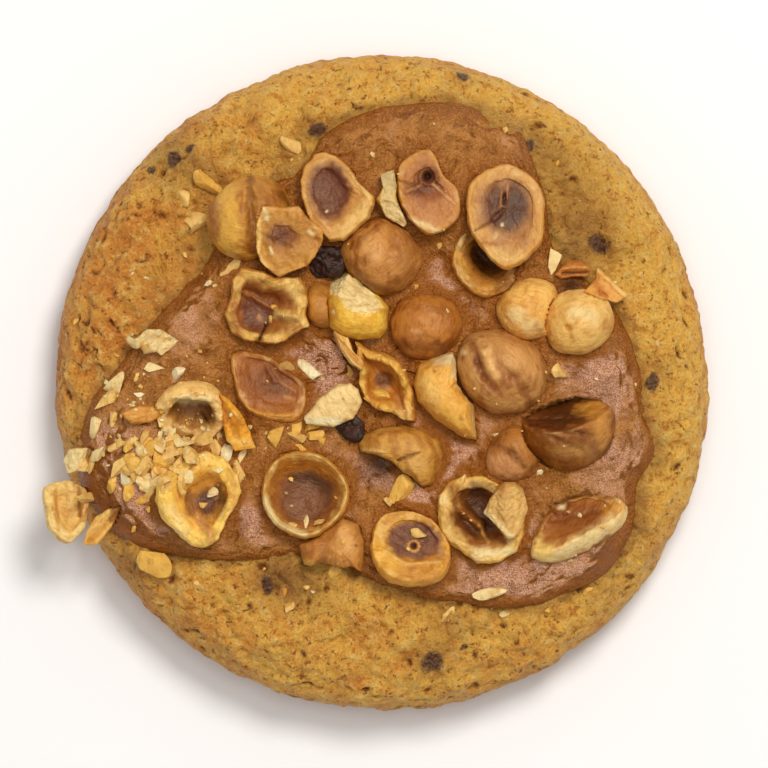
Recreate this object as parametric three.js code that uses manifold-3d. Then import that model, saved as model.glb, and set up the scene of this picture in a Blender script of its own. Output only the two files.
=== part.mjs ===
// A round hazelnut praline cookie that lies flat on its base: a domed disc of dough with a pool of
// praline in its top, roasted hazelnuts pressed into the praline, and chopped nuts scattered over it.
// Millimetres, +Z up. The origin is the middle of the flat base. +Y is the far edge and +X the right one.

import * as THREE from "three";
import { ConvexGeometry } from "three/addons/geometries/ConvexGeometry.js";
import { ImprovedNoise } from "three/addons/math/ImprovedNoise.js";
import { mergeVertices } from "three/addons/utils/BufferGeometryUtils.js";
import Module from "manifold-3d";

// Driving dimensions of the dough
const COOKIE_RADIUS = 50;
const BASE_RADIUS = 45; // the flat face that lay on the baking tray
const BELLY_HEIGHT = 7; // where the side is widest
const CREST_RADIUS = 38; // the highest ring of the rim
const CREST_HEIGHT = 18;
const SHOULDER_FULLNESS = 2.5; // 2 is an ellipse, more is squarer
const MIDDLE_DIP = 1.2; // how far the middle lies below the crest
const CRUST_UNEVENNESS = 0.55;
const SIDE_UNEVENNESS = 0.5;

// How the dough's outline departs from a circle: waves in a turn, height and the angle of a crest
const OUTLINE_WAVES = [
  { count: 1, height: 0.2, crest: -131 },
  { count: 2, height: 0.2, crest: -56 },
  { count: 3, height: 0.15, crest: -48 },
];

// Driving dimensions of the praline
const PRALINE_CENTRE = [-2, 2];
const PRALINE_THICKNESS = 2.6; // how far it stands proud of the dough
const PRALINE_DEPTH = 3.4; // how deep it is sunk into the dough
const EDGE_DEPTH = 0.8; // the same at its edge
const PRALINE_EDGE_FULLNESS = 9; // more makes a steeper, thicker edge
const PRALINE_UNEVENNESS = 0.5;
const PRALINE_SLOPE = 0.75; // from this share of its reach outwards the pool gets shallower

// How the pieces are fitted together
const BEDDING_GAP = 0.3; // between neighbours that touch
const FUSE_DEPTH = 0.5; // how deep a small chip is sunk into what it lies on
const MERGE_DISTANCE = 1e-4;
const SHELL_WALL = 1.6; // of a hollow nut that lies dome up

// How finely each kind of piece is faceted
const CRUST_SIDES = 64;
const SIDE_RINGS = 3;
const SHOULDER_RINGS = 6;
const TOP_RINGS = 5;
const TOP_RING_SPREAD = 1.3; // more packs the rings towards the crest
const PRALINE_SIDES = 48;
const PRALINE_FLOOR_RINGS = [0, 0.74, 0.9, 1]; // as shares of its reach
const PRALINE_TOP_RINGS = [1, 0.985, 0.95, 0.89, 0.78, 0.6, 0.35, 0];
const OUTLINE_STEPS = 720;
const HALF_SIDES = 12;
const KERNEL_SIDES = 12;
const KERNEL_BANDS = 7;
const LUMP_SIDES = 8;
const LUMP_BANDS = 5;
const FLAKE_CORNERS = 6;
const CHIP_CORNERS = 5;
const ROOM_SIDES = 8;
const ROOM_BANDS = 4;

// The praline's outline seen from above, counterclockwise from the right
const PRALINE_OUTLINE = [
  [39.6, 0], [38.2, 5], [35.8, 10], [31, 15.5], [26.4, 18.5], [25, 24], [24, 31], [20.5, 38],
  [13.5, 42], [5, 42.8], [-3, 41.6], [-9, 38], [-13, 33], [-18, 30.5], [-23, 27], [-25.6, 20.5],
  [-30.5, 14.5], [-35.2, 8.8], [-40.5, 3], [-44.2, -3], [-46.4, -9], [-46.6, -14], [-44.9, -18.6],
  [-42, -22.8], [-37, -25.2], [-28, -27.2], [-19, -27], [-11, -26.6], [-4, -29.2], [3, -32],
  [12, -33.8], [21, -34.2], [29, -32.2], [35, -28.2], [38, -21.5], [39, -16], [41.4, -10],
];

// Swells and hollows of the praline: where, how wide and how high
const SWELLS = [
  { at: [-37, -17], spread: 9, rise: 0.7 },
  { at: [-29, 9], spread: 7, rise: 1.2 },
  { at: [5, 38.5], spread: 7, rise: 1.0 },
  { at: [2, 33.5], spread: 4, rise: -1.0 },
  { at: [37, -7], spread: 5, rise: 1.2 },
  { at: [33.5, 2.5], spread: 5, rise: 1.2 },
  { at: [34, -26], spread: 5, rise: 0.8 },
  { at: [20, -30.5], spread: 6, rise: 0.6 },
  { at: [13, 16], spread: 7, rise: -0.5 },
  { at: [10, -13], spread: 6, rise: -0.7 },
];

// Dents and lumps of the dough: where, how wide and how high
const CRUST_LUMPS = [
  { at: [-30, 17], spread: 4, rise: -1.6 },
  { at: [-26, 27], spread: 5, rise: -1.8 },
  { at: [-16, 34], spread: 4, rise: -1.6 },
  { at: [26, 27], spread: 5, rise: -1.4 },
  { at: [30, 20], spread: 4, rise: -1.0 },
  { at: [-40, 10], spread: 7, rise: 0.7 },
  { at: [-8, -43], spread: 3.5, rise: -0.9 },
  { at: [2, -43.5], spread: 3, rise: -0.8 },
  { at: [-2, -37], spread: 6, rise: 0.6 },
  { at: [10, -36.5], spread: 3, rise: -0.8 },
  { at: [22, -38], spread: 5, rise: 0.5 },
  { at: [-22, -34], spread: 7, rise: 0.6 },
  { at: [-17.5, -30.5], spread: 3, rise: -1.2 },
  { at: [42, -17], spread: 3, rise: -0.8 },
  { at: [44, -26], spread: 5, rise: 0.5 },
  { at: [38, 22], spread: 7, rise: 0.5 },
];

// Hazelnut halves that show their cut face. size is the face's length and width and the dome's depth.
// turn swings the length from +Y, lift is the face's height above what it lies on, and lean tips the face
// by so many degrees towards a compass angle counted from +X. rim is the width of the wall at the top and
// hollow the depth of the cavity. egg narrows the far end, and ragged breaks the rim up.
const HALVES = [
  {
    at: [-7.1, 28.2], size: [14.2, 11.8, 6.4], turn: 8, lift: 4.6, lean: [11, 140],
    rim: 2.4, hollow: 1.3, egg: 0.12,
  },
  {
    at: [-15.1, 21.5], size: [11.2, 10.2, 3.8], turn: 20, lift: 6.2, lean: [7, 230],
    rim: 3.2, hollow: 0.7, egg: -0.05,
  },
  {
    at: [7, 29.2], size: [13.4, 9.8, 5.6], turn: 14, lift: 3.4, lean: [8, 75],
    rim: 2.6, hollow: 0.8, egg: 0.04,
  },
  {
    at: [18.6, 25.4], size: [16.8, 12.2, 6.2], turn: 5, lift: 6.2, lean: [9, 95],
    rim: 2.6, hollow: 0.9, egg: 0.1,
  },
  {
    at: [15.3, 18.5], size: [11.2, 10.8, 5.6], turn: 0, lift: 1.6, lean: [6, 40],
    rim: 1.4, hollow: 4,
  },
  {
    at: [-17.6, 10.9], size: [13.2, 12.8, 6.4], turn: 70, lift: 4.2, lean: [6, 250],
    rim: 1.5, hollow: 3.2, ragged: 1.3,
  },
  {
    at: [-17.7, -0.6], size: [14, 10.2, 4.8], turn: 50, lift: 1.5, lean: [10, 60],
    rim: 1.4, hollow: 1.6, egg: 0.05,
  },
  {
    at: [-11.9, -17.1], size: [13.4, 13.2, 6.8], turn: 0, lift: 3.4, lean: [4, 110],
    rim: 1.2, hollow: 3.8,
  },
  {
    at: [-27.6, -18.2], size: [15.2, 13.4, 7], turn: 4, lift: 3.9, lean: [12, 15],
    rim: 2, hollow: 4.2, egg: -0.06, ragged: 0.5,
  },
  {
    at: [-28.6, -4.8], size: [12.8, 10.4, 5.4], turn: 82, lift: 3, lean: [48, 268],
    rim: 1.4, hollow: 4, ragged: 0.6,
  },
  {
    at: [-0.3, -0.6], size: [12.6, 9.8, 5.4], turn: -18, lift: 3, lean: [14, 215],
    rim: 1.3, hollow: 3.4, egg: 0.06, ragged: 1.4,
  },
  {
    at: [4.5, -24.8], size: [13.4, 11.6, 7.4], turn: 74, lift: 3.8, lean: [25, 80],
    rim: 1.6, hollow: 0.9, egg: 0.05,
  },
  {
    at: [14.6, -21.1], size: [14.6, 13.2, 6.6], turn: 24, lift: 3.2, lean: [8, 70],
    rim: 1.5, hollow: 4, egg: 0.04, ragged: 0.9,
  },
  {
    at: [29.3, -21.5], size: [15.2, 10.6, 7.4], turn: -76, lift: 2.8, lean: [36, 100],
    rim: 1.1, hollow: 0.6, egg: 0.1,
  },
  {
    at: [27.6, -5], size: [15.4, 12.8, 8.8], turn: -77, lift: 0.4, lean: [66, 103],
    rim: 1.2, hollow: 0.5, egg: 0.1,
  },
  {
    at: [-48.1, -19.7], size: [10.4, 7, 4.4], turn: 20, lift: 9.4, lean: [30, 25],
    rim: 1.3, hollow: 1.8, egg: 0.04,
  },
];

// Hazelnuts that show their rounded skin side, whole or all but whole. size is length, width and height,
// lift is the height of the middle above what the nut is sunk in, and point draws the tip out.
const KERNELS = [
  { at: [-20.3, 25], size: [13.9, 13.4, 12.4], turn: -17, lift: 1.6, point: 0.1, groove: 0.07 },
  { at: [-0.6, 19.4], size: [13.2, 12.2, 11.6], turn: 35, lift: 1.2, point: 0.06, groove: 0.03 },
  { at: [6.7, 8.4], size: [11.2, 10, 10], turn: 84, lift: 1, point: 0.04, groove: 0.02 },
  { at: [18, 2], size: [14.4, 13.6, 12.4], turn: 28, lift: 1.6, point: 0.05, groove: 0.08 },
  { at: [21.9, 11], size: [11.4, 10, 9.6], turn: -14, lift: 0.8, point: 0.04, groove: 0 },
  { at: [30.2, 9.2], size: [11.2, 10.2, 10], turn: 82, lift: 1.4, point: 0.02, groove: 0 },
  { at: [-9.6, 11.3], size: [7.8, 6, 7], turn: 5, lift: 0.6, point: 0.04, groove: 0 },
  { at: [19.8, -10.4], size: [9.6, 7.8, 7.4], turn: 40, lift: 0.2, point: 0.04, groove: 0.05 },
];

// Broken nuts. A lump is a kernel with flat breaks, each given by its direction, steepness and distance.
const LUMPS = [
  {
    at: [-3.9, 11.4], size: [12.4, 10, 10], turn: 22, lift: 1.4,
    cuts: [[40, 52, 2.6], [95, 30, 5.2]],
  },
  {
    at: [18.5, -19.6], size: [9.6, 8, 5.2], turn: 24, lift: 4.2,
    cuts: [[140, 40, 1.7], [320, 55, 1.9], [20, 15, 3.4]],
  },
  {
    at: [1, 27.8], size: [9.6, 5.8, 5.6], turn: 30, lift: 2.2,
    cuts: [[60, 50, 1.6], [120, 20, 3.4], [240, 60, 2]],
  },
  {
    at: [-34.2, 6.2], size: [7.4, 4.4, 3.8], turn: -76, lift: 1.4,
    cuts: [[60, 60, 1.1], [200, 40, 1.6]],
  },
  {
    at: [-46.4, -12], size: [5.8, 5, 3.6], turn: -30, lift: 1.7,
    cuts: [[30, 55, 1.1], [190, 50, 1.2]],
  },
];

// A shell is a hollow half lying dome up, broken away beyond a distance in one direction.
const SHELLS = [
  { at: [3, -10.8], size: [13.4, 10.6, 5.8], turn: 74, lift: -0.2, lean: [22, 232], broken: [232, 2.2] },
  { at: [-7.4, -24.5], size: [11.6, 10.8, 5.6], turn: 86, lift: -0.6, lean: [14, 270], broken: [268, 3.4] },
  { at: [10.9, -2.4], size: [14.6, 12.2, 6.4], turn: 22, lift: -0.4, lean: [10, 20], broken: [14, 0.6] },
];

// A flake is a thin chip. taper narrows its far end, and curl turns its ends up.
const FLAKES = [
  {
    at: [-22.4, -5.9], size: [11.4, 4.6, 1.5], turn: 37, lift: 2.7,
    lean: [14, 300], taper: 0.4, curl: 0.024,
  },
  {
    at: [-42.6, -21.6], size: [9, 3.8, 1.5], turn: -42, lift: 1.3,
    lean: [26, 200], taper: 0.3, curl: 0.02,
  },
  {
    at: [-7.6, -3.4], size: [9.8, 5.2, 1.7], turn: -62, lift: 3.6,
    lean: [10, 250], taper: 0.25, curl: 0.008,
  },
  {
    at: [33.7, 14.7], size: [7.6, 5.2, 1.8], turn: 58, lift: 3.4,
    lean: [18, 40], taper: 0.6, curl: 0.024,
  },
  {
    at: [29, 17.2], size: [6.4, 3.4, 1.6], turn: -70, lift: 2,
    lean: [30, 270], taper: 0.2, curl: 0.04,
  },
  {
    at: [-36.7, -5], size: [7.4, 3, 1.4], turn: -76, lift: 1.1,
    lean: [8, 90], taper: 0.3, curl: 0.012,
  },
  {
    at: [-4.8, 4.9], size: [7.8, 3.2, 1.5], turn: 58, lift: 3.6,
    lean: [18, 40], taper: 0.4, curl: 0.024,
  },
];

// Chunks of chocolate that show between the nuts
const CHOCOLATE = [
  { at: [-8.4, 18.3], size: [6.6, 4.6, 5], turn: 10, lift: 0.6, cuts: [[80, 60, 1.8], [200, 45, 1.9]] },
  { at: [-5, -6.9], size: [5.4, 3.8, 4.4], turn: -40, lift: 0.6, cuts: [[50, 60, 1.6], [210, 50, 1.6]] },
];

// Chopped nuts too small to be pieces of their own: x, y, length, width and turn
const SCATTER = [
  [-26.6, 30.2, 6, 3, -52], [-30.4, 27.8, 2.8, 2.2, -40], [-28.8, 24.4, 5.8, 3, 12],
  [-13.4, 36.1, 5.6, 2.4, 66], [-22.2, 18.1, 6, 1.9, -52], [26.2, 19.6, 5.6, 2.4, -22],
  [-41, -0.5, 4.6, 3, 40], [-42.4, -2.9, 4.6, 2.4, 55], [-43.8, -6.6, 4.2, 2.2, 55],
  [-35.1, -27.6, 5.2, 4.4, -60], [-35, 2.1, 3, 1.5, -18], [-31.3, 1.3, 2.7, 1.8, 70],
  [-37.7, 6.2, 4.6, 1.7, 10], [27.3, 1.6, 3.8, 3, -30], [3.2, -16.6, 5, 3.4, -50],
  [-7.4, -29.4, 3.2, 2, 80], [16.4, -32.3, 5.4, 1.8, 84], [-14, -34.4, 2.2, 1.5, 40],
  [9.6, -35.6, 3.2, 1.5, 50], [-15.2, 2.4, 3, 1.8, -10], [-11.4, 2.2, 4.6, 2, 20],
  [-16.4, -8, 3.4, 2.2, 60], [-13.4, -8.6, 3, 2.2, -30], [-10.6, -8, 3, 1.8, 20],
  [-39.9, -12.9, 4.4, 2, 30], [-41.6, -15.6, 3.4, 2.2, 60], [-38.6, -16.6, 3.4, 2, 70],
  [-37.2, -12.9, 4.6, 1.7, 38], [-36.4, -10.5, 4.2, 1.9, 62], [-34.2, -13, 4.4, 1.9, -50],
  [-32, -11, 3.6, 2.1, 30], [-36.2, -8.5, 2.6, 1.6, 70], [-38.7, -9.1, 2.2, 1.5, 0],
  [-30.2, -9.3, 4.2, 2, 20], [-27.4, -8.6, 6, 2.4, 60], [-35, -15.3, 4, 1.5, 84],
  [-36.2, -17.2, 2.6, 1.9, 20], [-45.4, -17.6, 6.2, 1.5, 6], [-43.6, -10.9, 2.8, 1.9, 40],
  [-41.2, -5.2, 3.2, 1.2, 80], [-21.6, -11.5, 2.8, 1.2, 70], [-24, -10.6, 3.2, 2, 80],
];
const SCATTER_THICKNESS = 1.2;
const SCATTER_LEAN = 9;

// Unevenness that every nut and chip gets, as a share of its size
const HALF_WOBBLE = 0.05;
const KERNEL_WOBBLE = 0.03;
const CHIP_WOBBLE = 0.16;
const KERNEL_WAIST = 0.08; // how much wider a kernel is at its far end
const GROOVE_WIDTH = 0.22; // as a share of the kernel's half width
const CHIP_TOP = 0.82; // the upper face of a chip, as a share of its lower one
const TEETH = 5; // of a broken edge

const COLOURS = {
  dough: 0xc08a45,
  praline: 0xa8703f,
  nut: 0xd9a04c,
  chip: 0xe6c98c,
  chocolate: 0x3b2622,
};

const wasm = await Module();
wasm.setup();
const perlin = new ImprovedNoise();
const bump = (x, y, z, size) => perlin.noise(x / size, y / size, z / size);
const mix = THREE.MathUtils.lerp;
const ease = THREE.MathUtils.smoothstep;
const radians = THREE.MathUtils.degToRad;
const UP = new THREE.Vector3(0, 0, 1);

// Solids and geometries

function merge(geometry) {
  const bare = geometry.clone();
  bare.deleteAttribute("normal");
  bare.deleteAttribute("uv");
  return mergeVertices(bare, MERGE_DISTANCE);
}

function toSolid(geometry) {
  const merged = merge(geometry);
  const corners = merged.index.array;
  const kept = [];
  for (let i = 0; i < corners.length; i += 3) {
    const [a, b, c] = [corners[i], corners[i + 1], corners[i + 2]];
    if (a !== b && b !== c && c !== a) kept.push(a, b, c);
  }
  return new wasm.Manifold(
    new wasm.Mesh({
      numProp: 3,
      vertProperties: merged.attributes.position.array,
      triVerts: new Uint32Array(kept),
    }),
  );
}

function toGeometry(solid) {
  const mesh = solid.getMesh();
  const positions = new Float32Array(mesh.numVert * 3);
  for (let i = 0; i < mesh.numVert; i++) {
    const start = i * mesh.numProp;
    positions.set(mesh.vertProperties.subarray(start, start + 3), i * 3);
  }
  const geometry = new THREE.BufferGeometry();
  geometry.setAttribute("position", new THREE.BufferAttribute(positions, 3));
  geometry.setIndex(new THREE.BufferAttribute(new Uint32Array(mesh.triVerts), 1));
  geometry.computeVertexNormals();
  return geometry;
}

const joined = (solids) => solids.reduce((all, solid) => all.add(solid));
const cutBy = (solid, cutters) => cutters.reduce((rest, cutter) => rest.subtract(cutter), solid);

// A cut can leave loose scraps, so only the largest body is kept.
function largestBody(solid) {
  return solid.decompose().reduce((best, body) => (body.volume() > best.volume() ? body : best));
}

// Moves every vertex of a geometry to where move(point) says.
function reshape(geometry, move) {
  const positions = geometry.attributes.position;
  const point = new THREE.Vector3();
  for (let i = 0; i < positions.count; i++) {
    point.fromBufferAttribute(positions, i);
    move(point);
    positions.setXYZ(i, point.x, point.y, point.z);
  }
  return geometry;
}

// Moves every vertex outwards along its normal.
function swollen(geometry, distance) {
  const merged = merge(geometry);
  merged.computeVertexNormals();
  const { position, normal } = merged.attributes;
  position.array.forEach((value, i) => {
    position.array[i] = value + distance * normal.array[i];
  });
  return merged;
}

function pointsOf(geometry) {
  const positions = geometry.attributes.position;
  return Array.from({ length: positions.count }, (_, i) =>
    new THREE.Vector3().fromBufferAttribute(positions, i),
  );
}

// A profile of [radius, height] points spun round +Z, from the bottom of the axis up to its top.
function spun(profile, sides) {
  const points = profile.map(([radius, height]) => new THREE.Vector2(radius, height));
  return new THREE.LatheGeometry(points, sides).rotateX(Math.PI / 2);
}

// Heights of the surfaces, which the pieces on them are placed by

function sumOf(swells, x, y) {
  return swells.reduce((sum, { at, spread, rise }) => {
    const far = Math.hypot(x - at[0], y - at[1]) / spread;
    return sum + rise * Math.exp(-far * far);
  }, 0);
}

// How far the dough reaches in one direction, as a share of the cookie's radius.
function outlineShare(angle) {
  const waves = OUTLINE_WAVES.map(
    ({ count, height, crest }) => height * Math.cos(count * (angle - radians(crest))),
  );
  return 1 + waves.reduce((sum, wave) => sum + wave, 0) / COOKIE_RADIUS;
}

function crustProfileHeight(radius) {
  if (radius < CREST_RADIUS) {
    return CREST_HEIGHT - MIDDLE_DIP * (1 - ease(radius, 0, CREST_RADIUS));
  }
  const out = Math.min(1, (radius - CREST_RADIUS) / (COOKIE_RADIUS - CREST_RADIUS));
  const rise = (1 - out ** SHOULDER_FULLNESS) ** (1 / SHOULDER_FULLNESS);
  return mix(BELLY_HEIGHT, CREST_HEIGHT, rise);
}

// Lumps fade out down the side, so that the base stays flat and round.
function crustRelief(x, y, height) {
  const fade = ease(height, BELLY_HEIGHT, CREST_HEIGHT - 2);
  const rough = CRUST_UNEVENNESS * (bump(x, y, 3, 9) + 0.6 * bump(x, y, 7, 4.5));
  return fade * (rough + sumOf(CRUST_LUMPS, x, y));
}

function crustHeight(x, y) {
  const height = crustProfileHeight(Math.hypot(x, y) / outlineShare(Math.atan2(y, x)));
  return height + crustRelief(x, y, height);
}

const outlineReaches = new THREE.CatmullRomCurve3(
  PRALINE_OUTLINE.map(([x, y]) => new THREE.Vector3(x - PRALINE_CENTRE[0], y - PRALINE_CENTRE[1], 0)),
  true,
  "centripetal",
)
  .getPoints(OUTLINE_STEPS)
  .map(({ x, y }) => ({ angle: Math.atan2(y, x), reach: Math.hypot(x, y) }))
  .sort((a, b) => a.angle - b.angle);

// How far the praline reaches from its middle in one direction.
function pralineReach(angle) {
  const next = outlineReaches.findIndex((point) => point.angle > angle);
  if (next < 1) return outlineReaches[0].reach;
  const [before, after] = outlineReaches.slice(next - 1, next + 1);
  return mix(before.reach, after.reach, (angle - before.angle) / (after.angle - before.angle));
}

// Where a point is in the praline: its direction, and 0 in the middle to 1 at the edge.
function inPraline(x, y) {
  const [dx, dy] = [x - PRALINE_CENTRE[0], y - PRALINE_CENTRE[1]];
  const angle = Math.atan2(dy, dx);
  return { angle, share: Math.hypot(dx, dy) / pralineReach(angle) };
}

// The praline covers the dough in a coat that rounds down to nothing at its edge.
function pralineHeight(x, y, share) {
  const rough = PRALINE_UNEVENNESS * (bump(x, y, 11, 8) + 0.5 * bump(x, y, 17, 4));
  const coat = PRALINE_THICKNESS + rough + sumOf(SWELLS, x, y);
  const round = Math.sqrt(Math.max(0, 1 - share ** PRALINE_EDGE_FULLNESS));
  return crustHeight(x, y) + coat * round;
}

function pralineFloor(x, y, share) {
  return crustHeight(x, y) - mix(PRALINE_DEPTH, EDGE_DEPTH, ease(share, PRALINE_SLOPE, 1));
}

function surfaceHeight(x, y) {
  const { share } = inPraline(x, y);
  return share < 1 ? pralineHeight(x, y, share) : crustHeight(x, y);
}

// The dough: a disc with a flat base, a rounded side and a full shoulder.
function crustGeometry() {
  const profile = [[0, 0]];
  for (let i = 0; i <= SIDE_RINGS; i++) {
    const t = (i / SIDE_RINGS) * (Math.PI / 2);
    const radius = mix(BASE_RADIUS, COOKIE_RADIUS, Math.sin(t));
    profile.push([radius, BELLY_HEIGHT * (1 - Math.cos(t))]);
  }
  for (let i = 1; i <= SHOULDER_RINGS; i++) {
    const t = (i / SHOULDER_RINGS) * (Math.PI / 2);
    const radius = mix(CREST_RADIUS, COOKIE_RADIUS, Math.cos(t) ** (2 / SHOULDER_FULLNESS));
    profile.push([radius, mix(BELLY_HEIGHT, CREST_HEIGHT, Math.sin(t) ** (2 / SHOULDER_FULLNESS))]);
  }
  for (let i = 1; i <= TOP_RINGS; i++) {
    const radius = CREST_RADIUS * (1 - (i / TOP_RINGS) ** TOP_RING_SPREAD);
    profile.push([radius, crustProfileHeight(radius)]);
  }
  return reshape(spun(profile, CRUST_SIDES), (p) => {
    const rough = SIDE_UNEVENNESS * bump(p.x, p.y, p.z, 13) * ease(p.z, 0, BELLY_HEIGHT);
    const share = outlineShare(Math.atan2(p.y, p.x)) + rough / COOKIE_RADIUS;
    p.z += crustRelief(p.x * share, p.y * share, p.z);
    p.x *= share;
    p.y *= share;
  });
}

// The praline. In the profile a height of 1 stands for the top and -1 for the floor.
function pralineGeometry() {
  const profile = [
    ...PRALINE_FLOOR_RINGS.map((share) => [share, -1]),
    ...PRALINE_TOP_RINGS.map((share) => [share, 1]),
  ];
  return reshape(spun(profile, PRALINE_SIDES), (p) => {
    const share = Math.hypot(p.x, p.y);
    const angle = Math.atan2(p.y, p.x);
    const reach = share * pralineReach(angle);
    const heightOf = p.z < 0 ? pralineFloor : pralineHeight;
    p.x = PRALINE_CENTRE[0] + reach * Math.cos(angle);
    p.y = PRALINE_CENTRE[1] + reach * Math.sin(angle);
    p.z = heightOf(p.x, p.y, share);
  });
}

// A hazelnut half: a dome below its cut face, which has a rim round a cavity. The length runs along Y.
function halfGeometry({ size, rim, hollow, egg = 0, ragged = 0 }, seed) {
  const [length, width, depth] = size;
  const inner = 1 - (2 * rim) / width;
  const profile = [
    [0, -depth],
    [0.72, -0.8 * depth],
    [1, -0.25 * depth],
    [0.97, -0.05 * depth],
    [(1 + inner) / 2, 0],
    [inner, -0.12 * hollow],
    [inner * 0.72, -0.72 * hollow],
    [0, -hollow],
  ];
  return reshape(spun(profile, HALF_SIDES), (p) => {
    const share = Math.hypot(p.x, p.y);
    const turn = Math.atan2(p.y, p.x);
    const waves = Math.sin(2 * turn + seed) + Math.sin(3 * turn + 2 * seed);
    const wobble = 1 + share * HALF_WOBBLE * waves;
    const nearRim = ease(p.z, -0.5 * depth, 0) * ease(share, inner * 0.6, 1);
    p.z += ragged * nearRim * (bump(2 * p.x, 2 * p.y, seed, 0.8) - 0.2);
    p.x *= (wobble * width * (1 - egg * p.y)) / 2;
    p.y *= (wobble * length) / 2;
  });
}

// A rounded hazelnut kernel with its tip towards -Y, and a groove along its upper side.
function kernelGeometry({ size, point = 0, groove = 0, sides = KERNEL_SIDES, bands = KERNEL_BANDS }, seed) {
  const [length, width, height] = size;
  return reshape(new THREE.SphereGeometry(1, sides, bands), (p) => {
    const tip = ease(-p.y, 0.4, 1);
    const waist = 1 + KERNEL_WAIST * p.y;
    const crease = groove * Math.exp(-((p.x / GROOVE_WIDTH) ** 2)) * ease(p.z, 0, 0.6);
    const wobble = 1 + KERNEL_WOBBLE * Math.sin(3 * p.x + 2 * p.z + seed);
    p.x *= (waist * wobble * (1 - 0.3 * tip * point) * width) / 2;
    p.z *= ((waist * wobble - crease) * height) / 2;
    p.y *= ((1 + point * tip) * length) / 2;
  });
}

// What a flat break removes: all that lies beyond a plane facing one direction, tipped up by steepness.
function flatBlock([direction, steepness, distance], reach) {
  const block = new THREE.BoxGeometry(2 * reach, 4 * reach, 4 * reach);
  block.translate(distance + reach, 0, 0);
  return block.rotateY(-radians(steepness)).rotateZ(radians(direction));
}

function lumpGeometry(spec, seed) {
  const reach = Math.max(...spec.size);
  const kernel = toSolid(kernelGeometry({ ...spec, sides: LUMP_SIDES, bands: LUMP_BANDS }, seed));
  const blocks = spec.cuts.map((cut) => toSolid(flatBlock(cut, reach)));
  return toGeometry(largestBody(cutBy(kernel, blocks)));
}

// What a jagged break removes: all that lies beyond a toothed line across one direction.
function jaggedBlock(direction, distance, reach, seed) {
  const shape = new THREE.Shape();
  shape.moveTo(2 * reach, -reach);
  shape.lineTo(2 * reach, reach);
  for (let i = TEETH; i >= 0; i--) {
    const tooth = 0.7 * Math.sin(2.4 * i + seed) + (i % 2 ? 0.45 : -0.45);
    shape.lineTo(distance + tooth, mix(-reach, reach, i / TEETH));
  }
  shape.closePath();
  const block = new THREE.ExtrudeGeometry(shape, { depth: 4 * reach, bevelEnabled: false });
  return block.translate(0, 0, -2 * reach).rotateZ(radians(direction));
}

// A shell lies dome up, so the half is turned over before its side is broken away.
function shellGeometry(spec, seed) {
  const depth = spec.size[2];
  const wall = { ...spec, rim: SHELL_WALL, hollow: depth - SHELL_WALL, ragged: 0.3 };
  const dome = toSolid(halfGeometry(wall, seed).rotateY(Math.PI));
  const [direction, distance] = spec.broken;
  const gap = toSolid(jaggedBlock(direction - spec.turn, distance, Math.max(...spec.size), seed));
  return toGeometry(largestBody(dome.subtract(gap)));
}

// A thin chip with an uneven outline that narrows towards +Y and has a smaller upper face.
function flakeGeometry({ size, taper = 0.3, curl = 0.016, sides = FLAKE_CORNERS }, seed) {
  const [length, width, thickness] = size;
  const shape = new THREE.Shape();
  for (let i = 0; i < sides; i++) {
    const angle = (2 * Math.PI * i) / sides;
    const uneven = 1 + CHIP_WOBBLE * Math.sin(5.1 * i + 3.7 * seed);
    const y = (Math.sin(angle) * uneven * length) / 2;
    const narrow = 1 - taper * (y / length + 0.5);
    const x = (Math.cos(angle) * uneven * narrow * width) / 2;
    if (i) shape.lineTo(x, y);
    else shape.moveTo(x, y);
  }
  shape.closePath();
  const chip = new THREE.ExtrudeGeometry(shape, { depth: thickness, bevelEnabled: false });
  chip.translate(0, 0, -thickness / 2);
  return reshape(chip, (p) => {
    const shrink = p.z > 0 ? CHIP_TOP : 1;
    p.x *= shrink;
    p.y *= shrink;
    p.z += curl * (p.x * p.x + p.y * p.y);
  });
}

function materialOf(colour, roughness) {
  return new THREE.MeshStandardMaterial({ color: COLOURS[colour], roughness, metalness: 0 });
}

// Puts a mesh above the surface at its place, turned about Z and then leant towards a compass angle.
function place(mesh, { at, turn, lift, lean = [0, 0] }) {
  const [x, y] = at;
  const [tilt, towards] = lean.map(radians);
  const axis = new THREE.Vector3(-Math.sin(towards), Math.cos(towards), 0);
  const leaning = new THREE.Quaternion().setFromAxisAngle(axis, tilt);
  const turning = new THREE.Quaternion().setFromAxisAngle(UP, radians(turn));
  mesh.position.set(x, y, surfaceHeight(x, y) + lift);
  mesh.quaternion.multiplyQuaternions(leaning, turning);
  mesh.updateMatrix();
  return mesh;
}

function placedMeshes(kind, specs, geometryOf, colour) {
  return specs.map((spec, index) => {
    const geometry = geometryOf(spec, 1.7 * index + 0.6);
    const mesh = new THREE.Mesh(geometry, materialOf(colour, 0.5));
    mesh.name = `${kind}_${String(index + 1).padStart(2, "0")}`;
    return place(mesh, spec);
  });
}

function solidInPlace(mesh) {
  return toSolid(mesh.geometry.clone().applyMatrix4(mesh.matrix));
}

// How much a hull must grow about its middle to hold all the points.
function growthToHold(hull, points, middle) {
  const corners = pointsOf(hull);
  const plane = new THREE.Plane();
  let growth = 1;
  for (let i = 0; i < corners.length; i += 3) {
    plane.setFromCoplanarPoints(corners[i], corners[i + 1], corners[i + 2]);
    const inside = -plane.distanceToPoint(middle);
    for (const point of points) growth = Math.max(growth, 1 + plane.distanceToPoint(point) / inside);
  }
  return growth;
}

const roomDirections = pointsOf(new THREE.SphereGeometry(1, ROOM_SIDES, ROOM_BANDS).rotateX(Math.PI / 2));

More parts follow.
